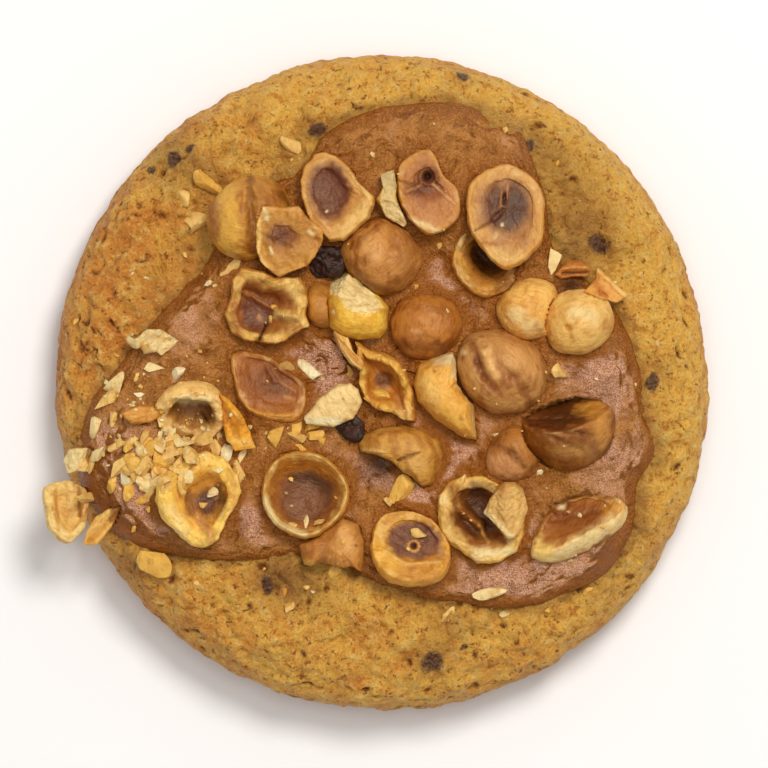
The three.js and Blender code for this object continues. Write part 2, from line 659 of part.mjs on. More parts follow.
// The convex room that a piece takes up, with a gap all round it: the hull of the points that reach
// furthest in a few directions, grown to hold the rest.
function roomOf({ geometry, matrix }) {
  const points = pointsOf(geometry);
  const furthest = roomDirections.map((direction) =>
    points.reduce((best, point) => (point.dot(direction) > best.dot(direction) ? point : best)),
  );
  const hull = new ConvexGeometry([...new Set(furthest)]);
  const box = new THREE.Box3().setFromPoints(points);
  const middle = box.getCenter(new THREE.Vector3());
  const half = box.getSize(new THREE.Vector3()).multiplyScalar(0.5);
  const growth = growthToHold(hull, points, middle);
  hull.translate(-middle.x, -middle.y, -middle.z);
  hull.scale(...half.toArray().map((reach) => growth + BEDDING_GAP / reach));
  hull.translate(middle.x, middle.y, middle.z);
  return toSolid(hull.applyMatrix4(matrix));
}

// Each piece gives way to those that lie higher and touch it.
function bedPieces(meshes) {
  const rooms = [];
  for (const mesh of [...meshes].sort((a, b) => b.position.z - a.position.z)) {
    const whole = solidInPlace(mesh);
    const touching = rooms.filter((room) => whole.intersect(room).volume() > 0);
    if (touching.length) {
      const trimmed = toGeometry(largestBody(cutBy(whole, touching)));
      mesh.geometry = trimmed.applyMatrix4(mesh.matrix.clone().invert());
    }
    rooms.push(roomOf(mesh));
  }
  return rooms;
}

function scatterMesh([x, y, length, width, turn], index) {
  const size = [length, width, SCATTER_THICKNESS];
  const mesh = new THREE.Mesh(flakeGeometry({ size, sides: CHIP_CORNERS }, index));
  const lift = SCATTER_THICKNESS / 2 - FUSE_DEPTH;
  return place(mesh, { at: [x, y], turn, lift, lean: [SCATTER_LEAN, 75 * index] });
}

function bodyMesh(name, solid, roughness) {
  const mesh = new THREE.Mesh(toGeometry(largestBody(solid)), materialOf(name, roughness));
  mesh.name = name;
  return mesh;
}

const pieces = [
  ...placedMeshes("half", HALVES, halfGeometry, "nut"),
  ...placedMeshes("kernel", KERNELS, kernelGeometry, "nut"),
  ...placedMeshes("shell", SHELLS, shellGeometry, "nut"),
  ...placedMeshes("lump", LUMPS, lumpGeometry, "chip"),
  ...placedMeshes("flake", FLAKES, flakeGeometry, "chip"),
  ...placedMeshes("chocolate", CHOCOLATE, lumpGeometry, "chocolate"),
];
const rooms = bedPieces(pieces);

// The small chips are fused to what carries them. The dough gives way to those that hang over
// from the praline.
const liesOnPraline = ({ position }) => inPraline(position.x, position.y).share < 1;
const chips = SCATTER.map(scatterMesh);
const onPraline = chips.filter(liesOnPraline);
const onDough = chips.filter((chip) => !liesOnPraline(chip));
const pool = pralineGeometry();
const praline = cutBy(joined([toSolid(pool), ...onPraline.map(solidInPlace)]), rooms);
const beds = [toSolid(swollen(pool, BEDDING_GAP)), ...rooms, ...onPraline.map(roomOf)];
const dough = cutBy(joined([toSolid(crustGeometry()), ...onDough.map(solidInPlace)]), beds);

const cookie = new THREE.Group();
cookie.add(bodyMesh("dough", dough, 0.9), bodyMesh("praline", praline, 0.4), ...pieces);

export default cookie;
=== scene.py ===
"""A hazelnut praline cookie: domed dough, a pool of praline, roasted hazelnuts and chopped nuts."""

import math
import random

import bmesh
import bpy
import numpy as np
from mathutils import Matrix, Vector
from mathutils.bvhtree import BVHTree


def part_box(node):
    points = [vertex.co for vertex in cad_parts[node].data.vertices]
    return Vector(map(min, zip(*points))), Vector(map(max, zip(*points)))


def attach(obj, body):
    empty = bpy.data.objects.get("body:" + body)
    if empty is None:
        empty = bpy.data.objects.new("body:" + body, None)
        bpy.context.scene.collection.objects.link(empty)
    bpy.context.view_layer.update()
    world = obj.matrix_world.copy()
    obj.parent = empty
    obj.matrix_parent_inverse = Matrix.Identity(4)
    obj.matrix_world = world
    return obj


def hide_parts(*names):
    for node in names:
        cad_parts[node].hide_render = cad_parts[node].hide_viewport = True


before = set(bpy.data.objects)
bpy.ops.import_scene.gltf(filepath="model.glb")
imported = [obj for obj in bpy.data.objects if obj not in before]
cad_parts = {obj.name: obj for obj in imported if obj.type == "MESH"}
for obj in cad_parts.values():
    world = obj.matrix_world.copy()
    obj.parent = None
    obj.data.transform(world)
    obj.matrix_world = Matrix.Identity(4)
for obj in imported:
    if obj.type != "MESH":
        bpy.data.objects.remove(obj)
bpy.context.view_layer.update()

# The dough
# A thick round of baked cookie dough. It spread on the tray as it baked, so its base is flat, its side
# bulges and its shoulder is full. The crust is golden, grainy and pitted, and browner at the side. Shade is
# painted into its pits, holes, crumbs and grain and onto its left and lower side, and light is painted onto
# its raised crumbs and its upper right.
MM = 0.001
COOKIE_RADIUS = 50
BASE_RADIUS = 45
BELLY_HEIGHT = 7
CREST_RADIUS = 38
CREST_HEIGHT = 18
SHOULDER_FULLNESS = 2.5
MIDDLE_DIP = 1.2
COVERED_RADIUS = 27  # inside this the praline hides the dough, so it is left coarse
PITTED_RADIUS = 28
DOUGH_SIDES = 760
SIDE_RINGS = 16
SHOULDER_RINGS = 46
CRUST_RING_GAP = 0.38
HIDDEN_RING_GAP = 3
PIT_COUNT = 1100
CRACK_COUNT = 46
CRACK_STEP = 0.55
DARKEST_DEPTH = 0.5

# How the outline departs from a circle: waves in a turn, height and the angle of a crest
OUTLINE_WAVES = [(1, 0.2, -131), (2, 0.2, -56), (3, 0.15, -48)]

# Dents and lumps of the crust: middle, spread and rise
CRUST_LUMPS = [
    (-30, 17, 4, -1.6), (-26, 27, 5, -1.8), (-16, 34, 4, -1.6), (26, 27, 5, -1.4), (30, 20, 4, -1.0),
    (-40, 10, 7, 0.7), (-8, -43, 3.5, -0.9), (2, -43.5, 3, -0.8), (-2, -37, 6, 0.6), (10, -36.5, 3, -0.8),
    (22, -38, 5, 0.5), (-22, -34, 7, 0.6), (-17.5, -30.5, 3, -1.2), (42, -17, 3, -0.8), (44, -26, 5, 0.5),
    (38, 22, 7, 0.5),
]

# Where chocolate and praline have stained the crust a dull olive, and painted shadow beside kernel_01 at
# (-28, 20): middle, spread and strength
STAINS_AND_SHADE = [
    (32.7, 21, 4.5, 0.5), (29, 27, 6, 0.6), (26, 34, 4, 0.5), (27, 18, 4, 0.6), (22.5, 37, 3, 0.6),
    (-31, 33.5, 4.5, 0.6), (-35, 36, 3, 0.4), (-26, 30, 4, 0.4), (-15, 34, 4, 0.5), (-10, 38.5, 2.5, 0.6),
    (-16.5, -29.5, 4, 0.9), (-11, -31, 4, 0.6), (33, -31.5, 4, 0.3), (10, -37, 4.5, 0.4),
    (7.5, -42.8, 3.2, 0.5), (42, 2, 2.6, 0.5), (41, -6, 3, 0.3), (-39, -27, 5, 0.5), (12, 46.5, 2.4, 0.4),
    (39, -24, 4, 0.3), (-28, 20, 4, 0.4), (-33, 13, 4, 0.3),
]

# Melted spots of dark chocolate: place, length, width and turn
SPOTS = [
    (32.7, 21, 3.9, 3.1, 120), (7.5, -42.8, 3.8, 3.4, 5), (-17.8, -31, 4, 2.2, 110), (-32, 34, 3, 2.2, 60),
    (-35.5, 32.5, 1.6, 1, 20), (-29.5, 35.5, 2.2, 1.2, 30), (-10, 38.5, 3.4, 2.2, 20), (22, 36, 2.6, 2, 50),
    (12, 46.5, 2.4, 1.6, 0), (41, 0, 3.4, 2.2, 70), (33.5, 4.2, 2, 1.2, 60), (12.4, -40.6, 1.6, 1, 30),
]

# How dark and how red the crust is, from its bake and from painted shade on its left and lower side, away
# from the light, and paler with painted light at the upper right where the strength is below 0: middle,
# spread and strength
TOAST_AND_SHADE = [
    (-44, 6, 16, 0.5), (-34, -34, 16, 0.3), (-6, -48, 10, 0.1), (-26, 38, 9, 0.2), (20, -46, 10, 0.15),
    (-38, 20, 10, 0.35), (16, 44, 5, -0.2), (42, 18, 12, -0.1), (30, 36, 10, -0.15), (-1, -38, 6, 0.2),
]


def ease(value, start, end):
    share = np.clip((value - start) / (end - start), 0, 1)
    return share * share * (3 - 2 * share)


def hills(table, x, y):
    return sum(rise * np.exp(-((x - cx) ** 2 + (y - cy) ** 2) / spread**2) for cx, cy, spread, rise in table)


LATTICE_SIZE = 32
LATTICE = np.random.default_rng(7).uniform(-1, 1, (LATTICE_SIZE, LATTICE_SIZE, LATTICE_SIZE))


def rough(points, size, octaves=1, seed=0.0):
    """Smooth random values, mostly within -1 to 1, that change over about the given size."""
    total = 0
    for octave in range(octaves):
        places = np.asarray(points) * 2**octave / size + seed + 5.3 * octave
        corner = np.floor(places).astype(int)
        part = places - corner
        part = part * part * (3 - 2 * part)
        for dx, dy, dz in np.ndindex(2, 2, 2):
            pull = np.abs(1 - np.array((dx, dy, dz)) - part).prod(axis=-1)
            i, j, k = np.moveaxis((corner + (dx, dy, dz)) % LATTICE_SIZE, -1, 0)
            total = total + 1.5 * pull * LATTICE[i, j, k] / 2**octave
    return total


def flat(x, y):
    return np.stack((x, y, np.zeros_like(x)), axis=-1)


def outline_share(angle):
    waves = 0
    for count, height, crest in OUTLINE_WAVES:
        waves = waves + height * np.cos(count * (angle - math.radians(crest)))
    return 1 + waves / COOKIE_RADIUS


def crust_profile_height(radius):
    crest = CREST_HEIGHT - MIDDLE_DIP * (1 - ease(radius, 0, CREST_RADIUS))
    out = np.clip((radius - CREST_RADIUS) / (COOKIE_RADIUS - CREST_RADIUS), 0, 1)
    shoulder = (1 - out**SHOULDER_FULLNESS) ** (1 / SHOULDER_FULLNESS)
    return np.where(radius < CREST_RADIUS, crest, BELLY_HEIGHT + (CREST_HEIGHT - BELLY_HEIGHT) * shoulder)


def crust_relief(x, y, height):
    swell = 0.3 * rough(flat(x, y), 8)
    return ease(height, BELLY_HEIGHT, CREST_HEIGHT - 2) * (swell + hills(CRUST_LUMPS, x, y))


def crust_height(x, y):
    height = crust_profile_height(np.hypot(x, y) / outline_share(np.arctan2(y, x)))
    return height + crust_relief(x, y, height)


def crust_profile():
    points = [(radius, 0) for radius in (0, 9, 18, 26, 32, 37, 41, 43.5)]
    for turn in np.linspace(0, math.pi / 2, SIDE_RINGS, endpoint=False):
        radius = BASE_RADIUS + (COOKIE_RADIUS - BASE_RADIUS) * math.sin(turn)
        points.append((radius, BELLY_HEIGHT * (1 - math.cos(turn))))
    for turn in np.linspace(0, math.pi / 2, SHOULDER_RINGS, endpoint=False):
        radius = CREST_RADIUS + (COOKIE_RADIUS - CREST_RADIUS) * math.cos(turn) ** (2 / SHOULDER_FULLNESS)
        rise = math.sin(turn) ** (2 / SHOULDER_FULLNESS)
        points.append((radius, BELLY_HEIGHT + (CREST_HEIGHT - BELLY_HEIGHT) * rise))
    radii = [*np.arange(CREST_RADIUS, COVERED_RADIUS, -CRUST_RING_GAP)]
    radii += [*range(COVERED_RADIUS, -1, -HIDDEN_RING_GAP)]
    return points + [(radius, float(crust_profile_height(radius))) for radius in radii]


def spun(profile, sides):
    """A bmesh of a profile of (radius, height) points spun round +Z."""
    bm = bmesh.new()
    corners = [bm.verts.new((radius, 0, height)) for radius, height in profile]
    edges = [bm.edges.new(pair) for pair in zip(corners, corners[1:])]
    bmesh.ops.spin(
        bm, geom=corners + edges, axis=(0, 0, 1), cent=(0, 0, 0), angle=2 * math.pi, steps=sides,
        use_merge=True,
    )
    bmesh.ops.remove_doubles(bm, verts=bm.verts, dist=1e-5)
    bmesh.ops.recalc_face_normals(bm, faces=bm.faces)
    return bm


def colour(red, green, blue):
    """A colour given as 0 to 255 on screen, as the linear one that Blender works with."""
    shares = [value / 255 for value in (red, green, blue)]
    return tuple(s / 12.92 if s <= 0.04045 else ((s + 0.055) / 1.055) ** 2.4 for s in shares) + (1,)


class Form:
    """A mesh in millimetres whose vertices are held as one array, so that all can be moved at once. The
    forms laid so far are kept in laid."""

    laid = []
    sharp_degrees = 32

    def __init__(self, bm):
        self.mesh = bpy.data.meshes.new("form")
        bm.to_mesh(self.mesh)
        bm.free()
        self.co = np.empty(3 * len(self.mesh.vertices))
        self.mesh.vertices.foreach_get("co", self.co)
        self.co = self.co.reshape(-1, 3)
        self.tint = np.ones((len(self.co), 4))
        self.masks = {}
        self.own = None
        self.inside = 0
        self.crisp = False

    def normals(self):
        self.mesh.vertices.foreach_set("co", self.co.ravel())
        self.mesh.update()
        found = np.empty(self.co.size)
        self.mesh.vertex_normals.foreach_get("vector", found)
        return found.reshape(-1, 3)

    def search_tree(self):
        return BVHTree.FromPolygons(self.co.tolist(), [tuple(face.vertices) for face in self.mesh.polygons])

    def swell(self, amounts):
        self.co += amounts[:, None] * self.normals()

    def dye(self, shares, tone):
        self.tint += np.clip(shares, 0, 1)[:, None] * (np.array(tone) - self.tint)

    def strokes(self, at, table):
        """Presses and dyes the upper side along strokes. Each runs between two places counted from at, and
        has a width, a depth, a colour and a strength. A depth below 0 raises a ridge."""
        upper = ease(self.normals()[:, 2], 0, 0.3)
        fray = 0.3 * rough(self.co, 0.9, 2)
        for x0, y0, x1, y1, width, depth, tone, strength in table:
            away = self.co[:, :2] - (at[0] + x0, at[1] + y0)
            run = np.array((x1 - x0 + 1e-6, y1 - y0))
            along = np.clip(away @ run / (run @ run), 0, 1)
            far = np.linalg.norm(away - along[:, None] * run, axis=1) / width + fray
            self.co[:, 2] -= upper * depth * np.exp(-(far**2))
            self.dye(upper * strength * np.exp(-np.clip(far, 0, 9) ** 3), tone)

    def write(self):
        self.mesh.vertices.foreach_set("co", self.co.ravel() * MM)
        for name, values in self.masks.items():
            values = np.ascontiguousarray(values, dtype=np.float32)
            self.mesh.attributes[name].data.foreach_set("value", values)
        self.mesh.update()

    def piece(self, name, material, slot, *nodes):
        """Finishes the form as a piece that rides on the cookie and stands for CAD nodes."""
        tint = self.mesh.attributes.new("tint", "FLOAT_COLOR", "POINT")
        tint.data.foreach_set("color", self.tint.ravel())
        own = self.mesh.attributes.new("own", "FLOAT_VECTOR", "POINT")
        own.data.foreach_set("vector", (self.co if self.own is None else self.own).ravel() * MM)
        for mask in self.masks:
            self.mesh.attributes.new(mask, "FLOAT", "POINT")
        self.write()
        self.mesh.name = name
        self.mesh.shade_smooth()
        if self.crisp:
            self.mesh.set_sharp_from_angle(angle=math.radians(Form.sharp_degrees))
        self.mesh.materials.append(material)
        self.tree = self.search_tree()
        Form.laid.append(self)
        made = bpy.data.objects.new(name, self.mesh)
        bpy.context.scene.collection.objects.link(made)
        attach(made, "root")
        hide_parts(*nodes)


class Flow:
    """A socket of a material, so that sums on it can be written as Python."""

    def __init__(self, shader, socket):
        self.shader = shader
        self.socket = socket

    def __add__(self, other):
        return self.shader.sum("ADD", self, other)

    __radd__ = __add__

    def __sub__(self, other):
        return self.shader.sum("SUBTRACT", self, other)

    def __rsub__(self, other):
        return self.shader.sum("SUBTRACT", other, self)

    def __mul__(self, other):
        return self.shader.sum("MULTIPLY", self, other)

    __rmul__ = __mul__


class Shader:
    """A material, built from one Principled shader and the nodes that feed it."""

    def __init__(self, name, constants):
        self.material = bpy.data.materials.new(name)
        self.material.use_nodes = True
        self.tree = self.material.node_tree
        self.surface = self.tree.nodes["Principled BSDF"]
        for socket, value in constants.items():
            self.surface.inputs[socket].default_value = value

    def feed(self, socket, value):
        if isinstance(value, Flow):
            self.tree.links.new(value.socket, socket)
        else:
            socket.default_value = value

    def node(self, kind, settings, sockets, output=0):
        made = self.tree.nodes.new(kind)
        for name, value in settings.items():
            setattr(made, name, value)
        for name, value in sockets.items():
            self.feed(made.inputs[name], value)
        return Flow(self, made.outputs[output])

    def sum(self, operation, first, second):
        return self.node("ShaderNodeMath", {"operation": operation}, {0: first, 1: second})

    def place(self):
        return self.node("ShaderNodeTexCoord", {}, {}, "Object")

    def own(self, *stretch):
        """A place on the piece as it was before it was laid, so that no two pieces are marked alike."""
        at = self.node("ShaderNodeAttribute", {"attribute_name": "own"}, {}, "Vector")
        return self.node("ShaderNodeVectorMath", {"operation": "MULTIPLY"}, {0: at, 1: stretch})

    def noise(self, size, detail=3, roughness=0.55, at=None):
        at = at or self.place()
        sockets = {"Vector": at, "Scale": 1 / (size * MM), "Detail": detail, "Roughness": roughness}
        return self.node("ShaderNodeTexNoise", {}, sockets)

    def ramp(self, value, start, end):
        settings = {"interpolation_type": "SMOOTHSTEP"}
        return self.node("ShaderNodeMapRange", settings, {"Value": value, "From Min": start, "From Max": end})

    def mask(self, name):
        return self.node("ShaderNodeAttribute", {"attribute_name": name}, {}, "Fac")

    def tint(self, name):
        return self.node("ShaderNodeAttribute", {"attribute_name": name}, {}, "Color")

    def mix(self, factor, first, second, blend="MIX"):
        settings = {"data_type": "RGBA", "blend_type": blend, "clamp_factor": True}
        return self.node("ShaderNodeMix", settings, {0: factor, 6: first, 7: second}, 2)

    def bump(self, height, depth, strength=1.0, below=None):
        sockets = {"Height": height, "Distance": depth * MM, "Strength": strength}
        if below:
            sockets["Normal"] = below
        return self.node("ShaderNodeBump", {}, sockets)

    def finish(self, sockets):
        for name, value in sockets.items():
            self.feed(self.surface.inputs[name], value)
        return self.material


def dough_material():
    shader = Shader("baked dough", {
        "Specular IOR Level": 0.45, "Specular Tint": (1, 0.8, 0.56, 1), "Subsurface Weight": 0.05,
        "Subsurface Scale": MM,
    })
    mottle = shader.noise(4.5, 4, 0.6)
    crumb = shader.noise(1.7, 6, 0.72)
    grain = shader.noise(0.4, 3, 0.65)
    holes = shader.noise(1.1, 4, 0.7)
    # The toast mask is the bake's browning, with painted shade on the left and lower side and painted light
    # at the upper right.
    toast_and_shade = shader.mask("toast_and_shade") + (mottle - 0.5) * 2.0 + (crumb - 0.5) * 0.9
    tone = shader.mix(shader.ramp(toast_and_shade, -0.05, 1.1), colour(255, 200, 92), colour(228, 146, 64))
    # Painted light: the raised crumbs of the bump are paler.
    tone = shader.mix(shader.ramp(crumb, 0.52, 0.62) * 0.7, tone, colour(255, 216, 126))
    # Painted shade: the recesses between the crumbs are darker and redder.
    tone = shader.mix(shader.ramp(crumb, 0.47, 0.36) * 0.75, tone, colour(202, 116, 42))
    # The stain mask holds the real stains, painted shadow beside kernel_01, and the band beside the praline,
    # which is partly painted shade.
    stain_and_shade = shader.mask("stain_and_shade") * (0.5 + mottle)
    tone = shader.mix(stain_and_shade, tone, colour(168, 120, 62))
    # Painted shade in the holes of the bump.
    tone = shader.mix(shader.ramp(holes, 0.43, 0.33) * 0.85, tone, colour(134, 66, 20))
    # Painted shade in the pits and cracks, darker the deeper they go, and in the seam along the praline.
    pits = shader.ramp(shader.mask("pit_shade") + (grain - 0.5) * 1.3, 0.25, 1.0)
    tone = shader.mix(pits, tone, colour(116, 54, 14))
    melted = shader.ramp(shader.mask("chocolate") + (holes - 0.5) * 1.9, 0.3, 0.95)
    spots = shader.mix(shader.ramp(grain, 0.4, 0.6), colour(44, 22, 18), colour(116, 80, 68))
    tone = shader.mix(melted * 0.92, tone, spots)
    # Painted shade in the dips of the fine grain.
    shade = shader.mix(1.0, tone, (0.88, 0.76, 0.55, 1), "MULTIPLY")
    tone = shader.mix(shader.ramp(grain, 0.34, 0.56), shade, tone)
    relief = shader.bump(grain, 0.15, 1.0, shader.bump(holes, 0.6, 1.0, shader.bump(crumb, 1.5, 1.0)))
    return shader.finish({"Base Color": tone, "Roughness": 0.7 - 0.25 * crumb, "Normal": relief})


def press_pits(crust, seed):
    """Sinks pits and short cracks into the crust, and masks how deep each vertex lies in them, for painted
    shade.
    """
    chance = random.Random(seed)
    depths = np.zeros(len(crust.co))
    normals = crust.normals()
    x, y, z = crust.co.T
    likely = (z > 0.6) * (np.hypot(x, y) > PITTED_RADIUS) * (0.3 + 0.9 * ease(crust.masks["toast_and_shade"], 0.1, 0.9))
    likely = np.cumsum(likely / likely.sum())

    def sink(middle, radius, depth, along, stretch):
        away = crust.co - middle
        length = away @ along
        far2 = ((away * away).sum(axis=1) - length**2 * (1 - 1 / stretch**2)) / radius**2
        near = far2 < 1
        depths[near] = np.maximum(depths[near], depth * (1 - far2[near]) ** 1.2)

    def spot_on_crust():
        return crust.co[min(int(np.searchsorted(likely, chance.random())), len(depths) - 1)].copy()

    for _ in range(PIT_COUNT):
        along = Vector((chance.gauss(0, 1), chance.gauss(0, 1), chance.gauss(0, 0.4))).normalized()
        radius = 0.26 + 0.6 * chance.random() ** 3
        sink(spot_on_crust(), radius, 0.45 * radius + 0.12, np.array(along), 1 + 1.6 * chance.random())
    for _ in range(CRACK_COUNT):
        spot = spot_on_crust()
        heading = chance.uniform(0, 2 * math.pi)
        for _ in range(chance.randint(4, 9)):
            heading += chance.gauss(0, 0.55)
            along = np.array((math.cos(heading), math.sin(heading), 0))
            spot = spot + CRACK_STEP * along
            spot = crust.co[((crust.co - spot) ** 2).sum(axis=1).argmin()].copy()
            sink(spot, chance.uniform(0.3, 0.55), chance.uniform(0.2, 0.55), along, 1.4)
    crust.masks["pit_shade"] = np.clip(depths / DARKEST_DEPTH, 0, 1)
    crust.co -= depths[:, None] * normals


def make_dough():
    crust = Form(spun(crust_profile(), DOUGH_SIDES))
    x, y, z = crust.co.T
    crust.co[:, :2] *= outline_share(np.arctan2(y, x))[:, None]
    crust.co[:, 2] += crust_relief(x, y, z)
    lift = ease(z, 0, 1.2)
    side = 1 - ease(z, 6, 15)
    # Browner at the side and base from the bake; the hills add painted shade on the left and lower side and
    # painted light at the upper right.
    crust.masks["toast_and_shade"] = 0.22 + hills(TOAST_AND_SHADE, x, y) + 0.35 * side + 0.4 * (1 - lift)
    # Real stains, with painted shadow beside kernel_01 at (-28, 20).
    crust.masks["stain_and_shade"] = hills(STAINS_AND_SHADE, x, y) * ease(z, 8, 14)
    crust.masks["chocolate"] = np.zeros(len(x))
    for spot_x, spot_y, length, width, turn in SPOTS:
        away = ((x - spot_x) + 1j * (y - spot_y)) * np.exp(-1j * math.radians(turn))
        far = np.hypot(away.real / length, away.imag / width) * 2
        melted = (1 - ease(far, 0.5, 1.4)) * (z > 8)
        crust.masks["chocolate"] = np.maximum(crust.masks["chocolate"], melted)
    shown = lift * (np.hypot(x, y) > COVERED_RADIUS) * (0.4 + 0.6 * ease(z, 12, 17))
    crust.swell(shown * (0.66 * rough(crust.co, 3.6, 3) + 0.3 * rough(crust.co, 1.3, 2, 9.1)))
    press_pits(crust, seed=11)
    crust.co[:, 2] = np.maximum(0, crust.co[:, 2])
    crust.piece("dough_crust", dough_material(), "dough", "dough")
    return crust


CRUST = make_dough()

# The praline
# Soft nut paste, spooned into the dent in the dough and spread until it ran a little way down the left
# shoulder. It is oily and grainy. A sheen is painted on its level parts where they would reflect the light,
# and its steep edge is a darker orange brown, partly its own colour and partly painted shade.
PRALINE_CENTRE = (-2, 2)
PRALINE_THICKNESS = 2.6
PRALINE_DEPTH = 3.4
EDGE_DEPTH = 0.8
PRALINE_EDGE_FULLNESS = 9
PRALINE_SIDES = 640
EDGE_RINGS = 44
TOP_RINGS = 90
CURVE_STEPS = 12  # places on a smooth curve from one corner to the next

PRALINE_OUTLINE = [
    (39.6, 0), (38.2, 5), (35.8, 10), (31, 15.5), (26.4, 18.5), (25, 24), (24, 31), (20.5, 38), (13.5, 42),
    (5, 42.8), (-3, 41.6), (-9, 38), (-13, 33), (-18, 30.5), (-23, 27), (-25.6, 20.5), (-30.5, 14.5),
    (-35.2, 8.8), (-40.5, 3), (-44.2, -3), (-46.4, -9), (-46.6, -14), (-44.9, -18.6), (-42, -22.8),
    (-37, -25.2), (-28, -27.2), (-19, -27), (-11, -26.6), (-4, -29.2), (3, -32), (12, -33.8), (21, -34.2),
    (29, -32.2), (35, -28.2), (38, -21.5), (39, -16), (41.4, -10),
]

# Swells and hollows: middle, spread and rise
PRALINE_SWELLS = [
    (-37, -17, 9, 0.7), (-29, 9, 7, 1.2), (5, 38.5, 7, 1.0), (2, 33.5, 4, -1.3), (37, -7, 5, 1.2),
    (33.5, 2.5, 5, 1.2), (34, -26, 5, 0.8), (20, -30.5, 6, 0.6), (13, 16, 7, -0.5), (10, -13, 6, -0.7),
]

# Where a painted sheen shows, the light's reflection on the level praline: middle, spread and strength
PAINTED_SHEEN_PARTS = [
    (8, -13, 8, 0.8), (-5, -16, 6, 0.6), (20, -29, 9, 0.7), (33, -28, 6, 0.6), (12, 15, 5, 1.0),
    (-10, 4, 6, 0.9), (33, 2, 6, 0.7), (-33, 7, 7, 0.2), (-24, 12, 5, 0.2), (-38, -20, 8, 1.0),
    (-20, -22, 4, 0.7), (36, -12, 6, 0.5), (-9, 3, 4, 0.5), (-1, -19, 3, -0.7), (14, 37, 8, -0.5),
    (-44, -14, 7, 0.8),
]

# Deep shade under broken shells: middle, spread and strength
SHADED = [
    (-0.6, -12.8, 2.4, 0.9), (28.6, 14.6, 2, 0.9), (-26.6, -5.6, 2.6, 0.8), (-6.5, 17, 2, 0.6),
    (34, -1.5, 2, 0.3),
]


def curve_between(before, start, end, after, t):
    """A place on the smooth curve from start to end, whose slope comes from the points on either side."""
    bend = 1.5 * (start - end) + (after - before) / 2
    return start + t * ((end - before) / 2 + t * (before - 2.5 * start + 2 * end - 0.5 * after + t * bend))


def smooth_curve(corners):
    """Places on the smooth closed curve through an outline's corners."""
    spans = [np.roll(corners, turn, axis=0) for turn in (1, 0, -1, -2)]
    steps = np.linspace(0, 1, CURVE_STEPS, endpoint=False)
    return np.concatenate([curve_between(*spans, t) for t in steps])


def bearings(curve):
    """Places on an outline as directions and reaches from the middle, in the order of the directions."""
    angles = np.arctan2(curve[:, 1], curve[:, 0])
    order = np.argsort(angles)
    return angles[order], np.hypot(*curve[order].T)


PRALINE_BEARINGS = bearings(smooth_curve(np.array(PRALINE_OUTLINE) - PRALINE_CENTRE))


def praline_reach(angle):
    uneven = 0.3 * rough(flat(8 * np.cos(angle), 8 * np.sin(angle)), 1, 2)
    return np.interp(angle, *PRALINE_BEARINGS, period=2 * math.pi) + uneven


def praline_share(x, y):
    away_x, away_y = x - PRALINE_CENTRE[0], y - PRALINE_CENTRE[1]
    return np.hypot(away_x, away_y) / praline_reach(np.arctan2(away_y, away_x))


def praline_height(x, y, share):
    waves = 0.5 * rough(flat(x, y), 7, 1, 3.3) + 0.4 * rough(flat(x, y), 3, 2, 6.1)
    coat = PRALINE_THICKNESS + waves + hills(PRALINE_SWELLS, x, y)
    return crust_height(x, y) + coat * np.sqrt(np.clip(1 - share**PRALINE_EDGE_FULLNESS, 0, 1))


def surface_height(x, y):
    share = praline_share(x, y)
    return np.where(share < 1, praline_height(x, y, share), crust_height(x, y))


def praline_material():
    shader = Shader("praline", {
        "Specular IOR Level": 0.65, "Specular Tint": (1, 0.8, 0.56, 1), "Subsurface Weight": 0.08,
        "Subsurface Scale": MM,
    })
    grain = shader.noise(0.3, 3, 0.7)
    glint = shader.noise(0.2, 2, 0.7)
    patch = shader.noise(2.6, 5, 0.62)
    spread = shader.noise(6, 3, 0.6)
    level = shader.mask("level") + (patch - 0.5) * 0.7
    painted_sheen = shader.mask("painted_sheen") + (patch - 0.5) * 0.7 + (spread - 0.5) * 1.4
    tone = shader.mix(shader.ramp(patch, 0.34, 0.64), colour(146, 86, 18), colour(186, 122, 54))
    tone = shader.mix(shader.ramp(spread, 0.5, 0.68) * 0.6, tone, colour(196, 134, 66))
    # Steep slopes turn a darker amber, partly the praline's own colour at its edge and partly painted shade.
    tone = shader.mix(shader.ramp(level, 0.75, 0.2), tone, colour(132, 68, 2))
    tone = shader.mix(shader.mask("amber"), tone, colour(150, 80, 4))
    level = level - shader.mask("amber")
    # Painted sheen: fine glints of the overhead light's reflection on the level parts.
    sheen = shader.ramp(painted_sheen, 0.05, 0.7) * shader.ramp(level, 0.4, 0.9) * shader.ramp(glint, 0.4, 0.6)
    tone = shader.mix(sheen * 0.9, tone, colour(232, 184, 166))
    flecks = shader.ramp(painted_sheen, 0.6, 0.1) * shader.ramp(grain, 0.5, 0.66)
    tone = shader.mix(flecks * 0.5, tone, colour(208, 150, 82))
    tone = shader.mix(shader.ramp(grain, 0.45, 0.33) * 0.45, tone, colour(106, 54, 8))
    tone = shader.mix(shader.mask("crevice"), tone, colour(58, 24, 6))
    relief = shader.bump(glint, 0.07, 1.0, shader.bump(grain, 0.16, 1.0, shader.bump(patch, 2.0, 1.0)))
    return shader.finish({"Base Color": tone, "Roughness": 0.36 - 0.2 * patch, "Normal": relief})


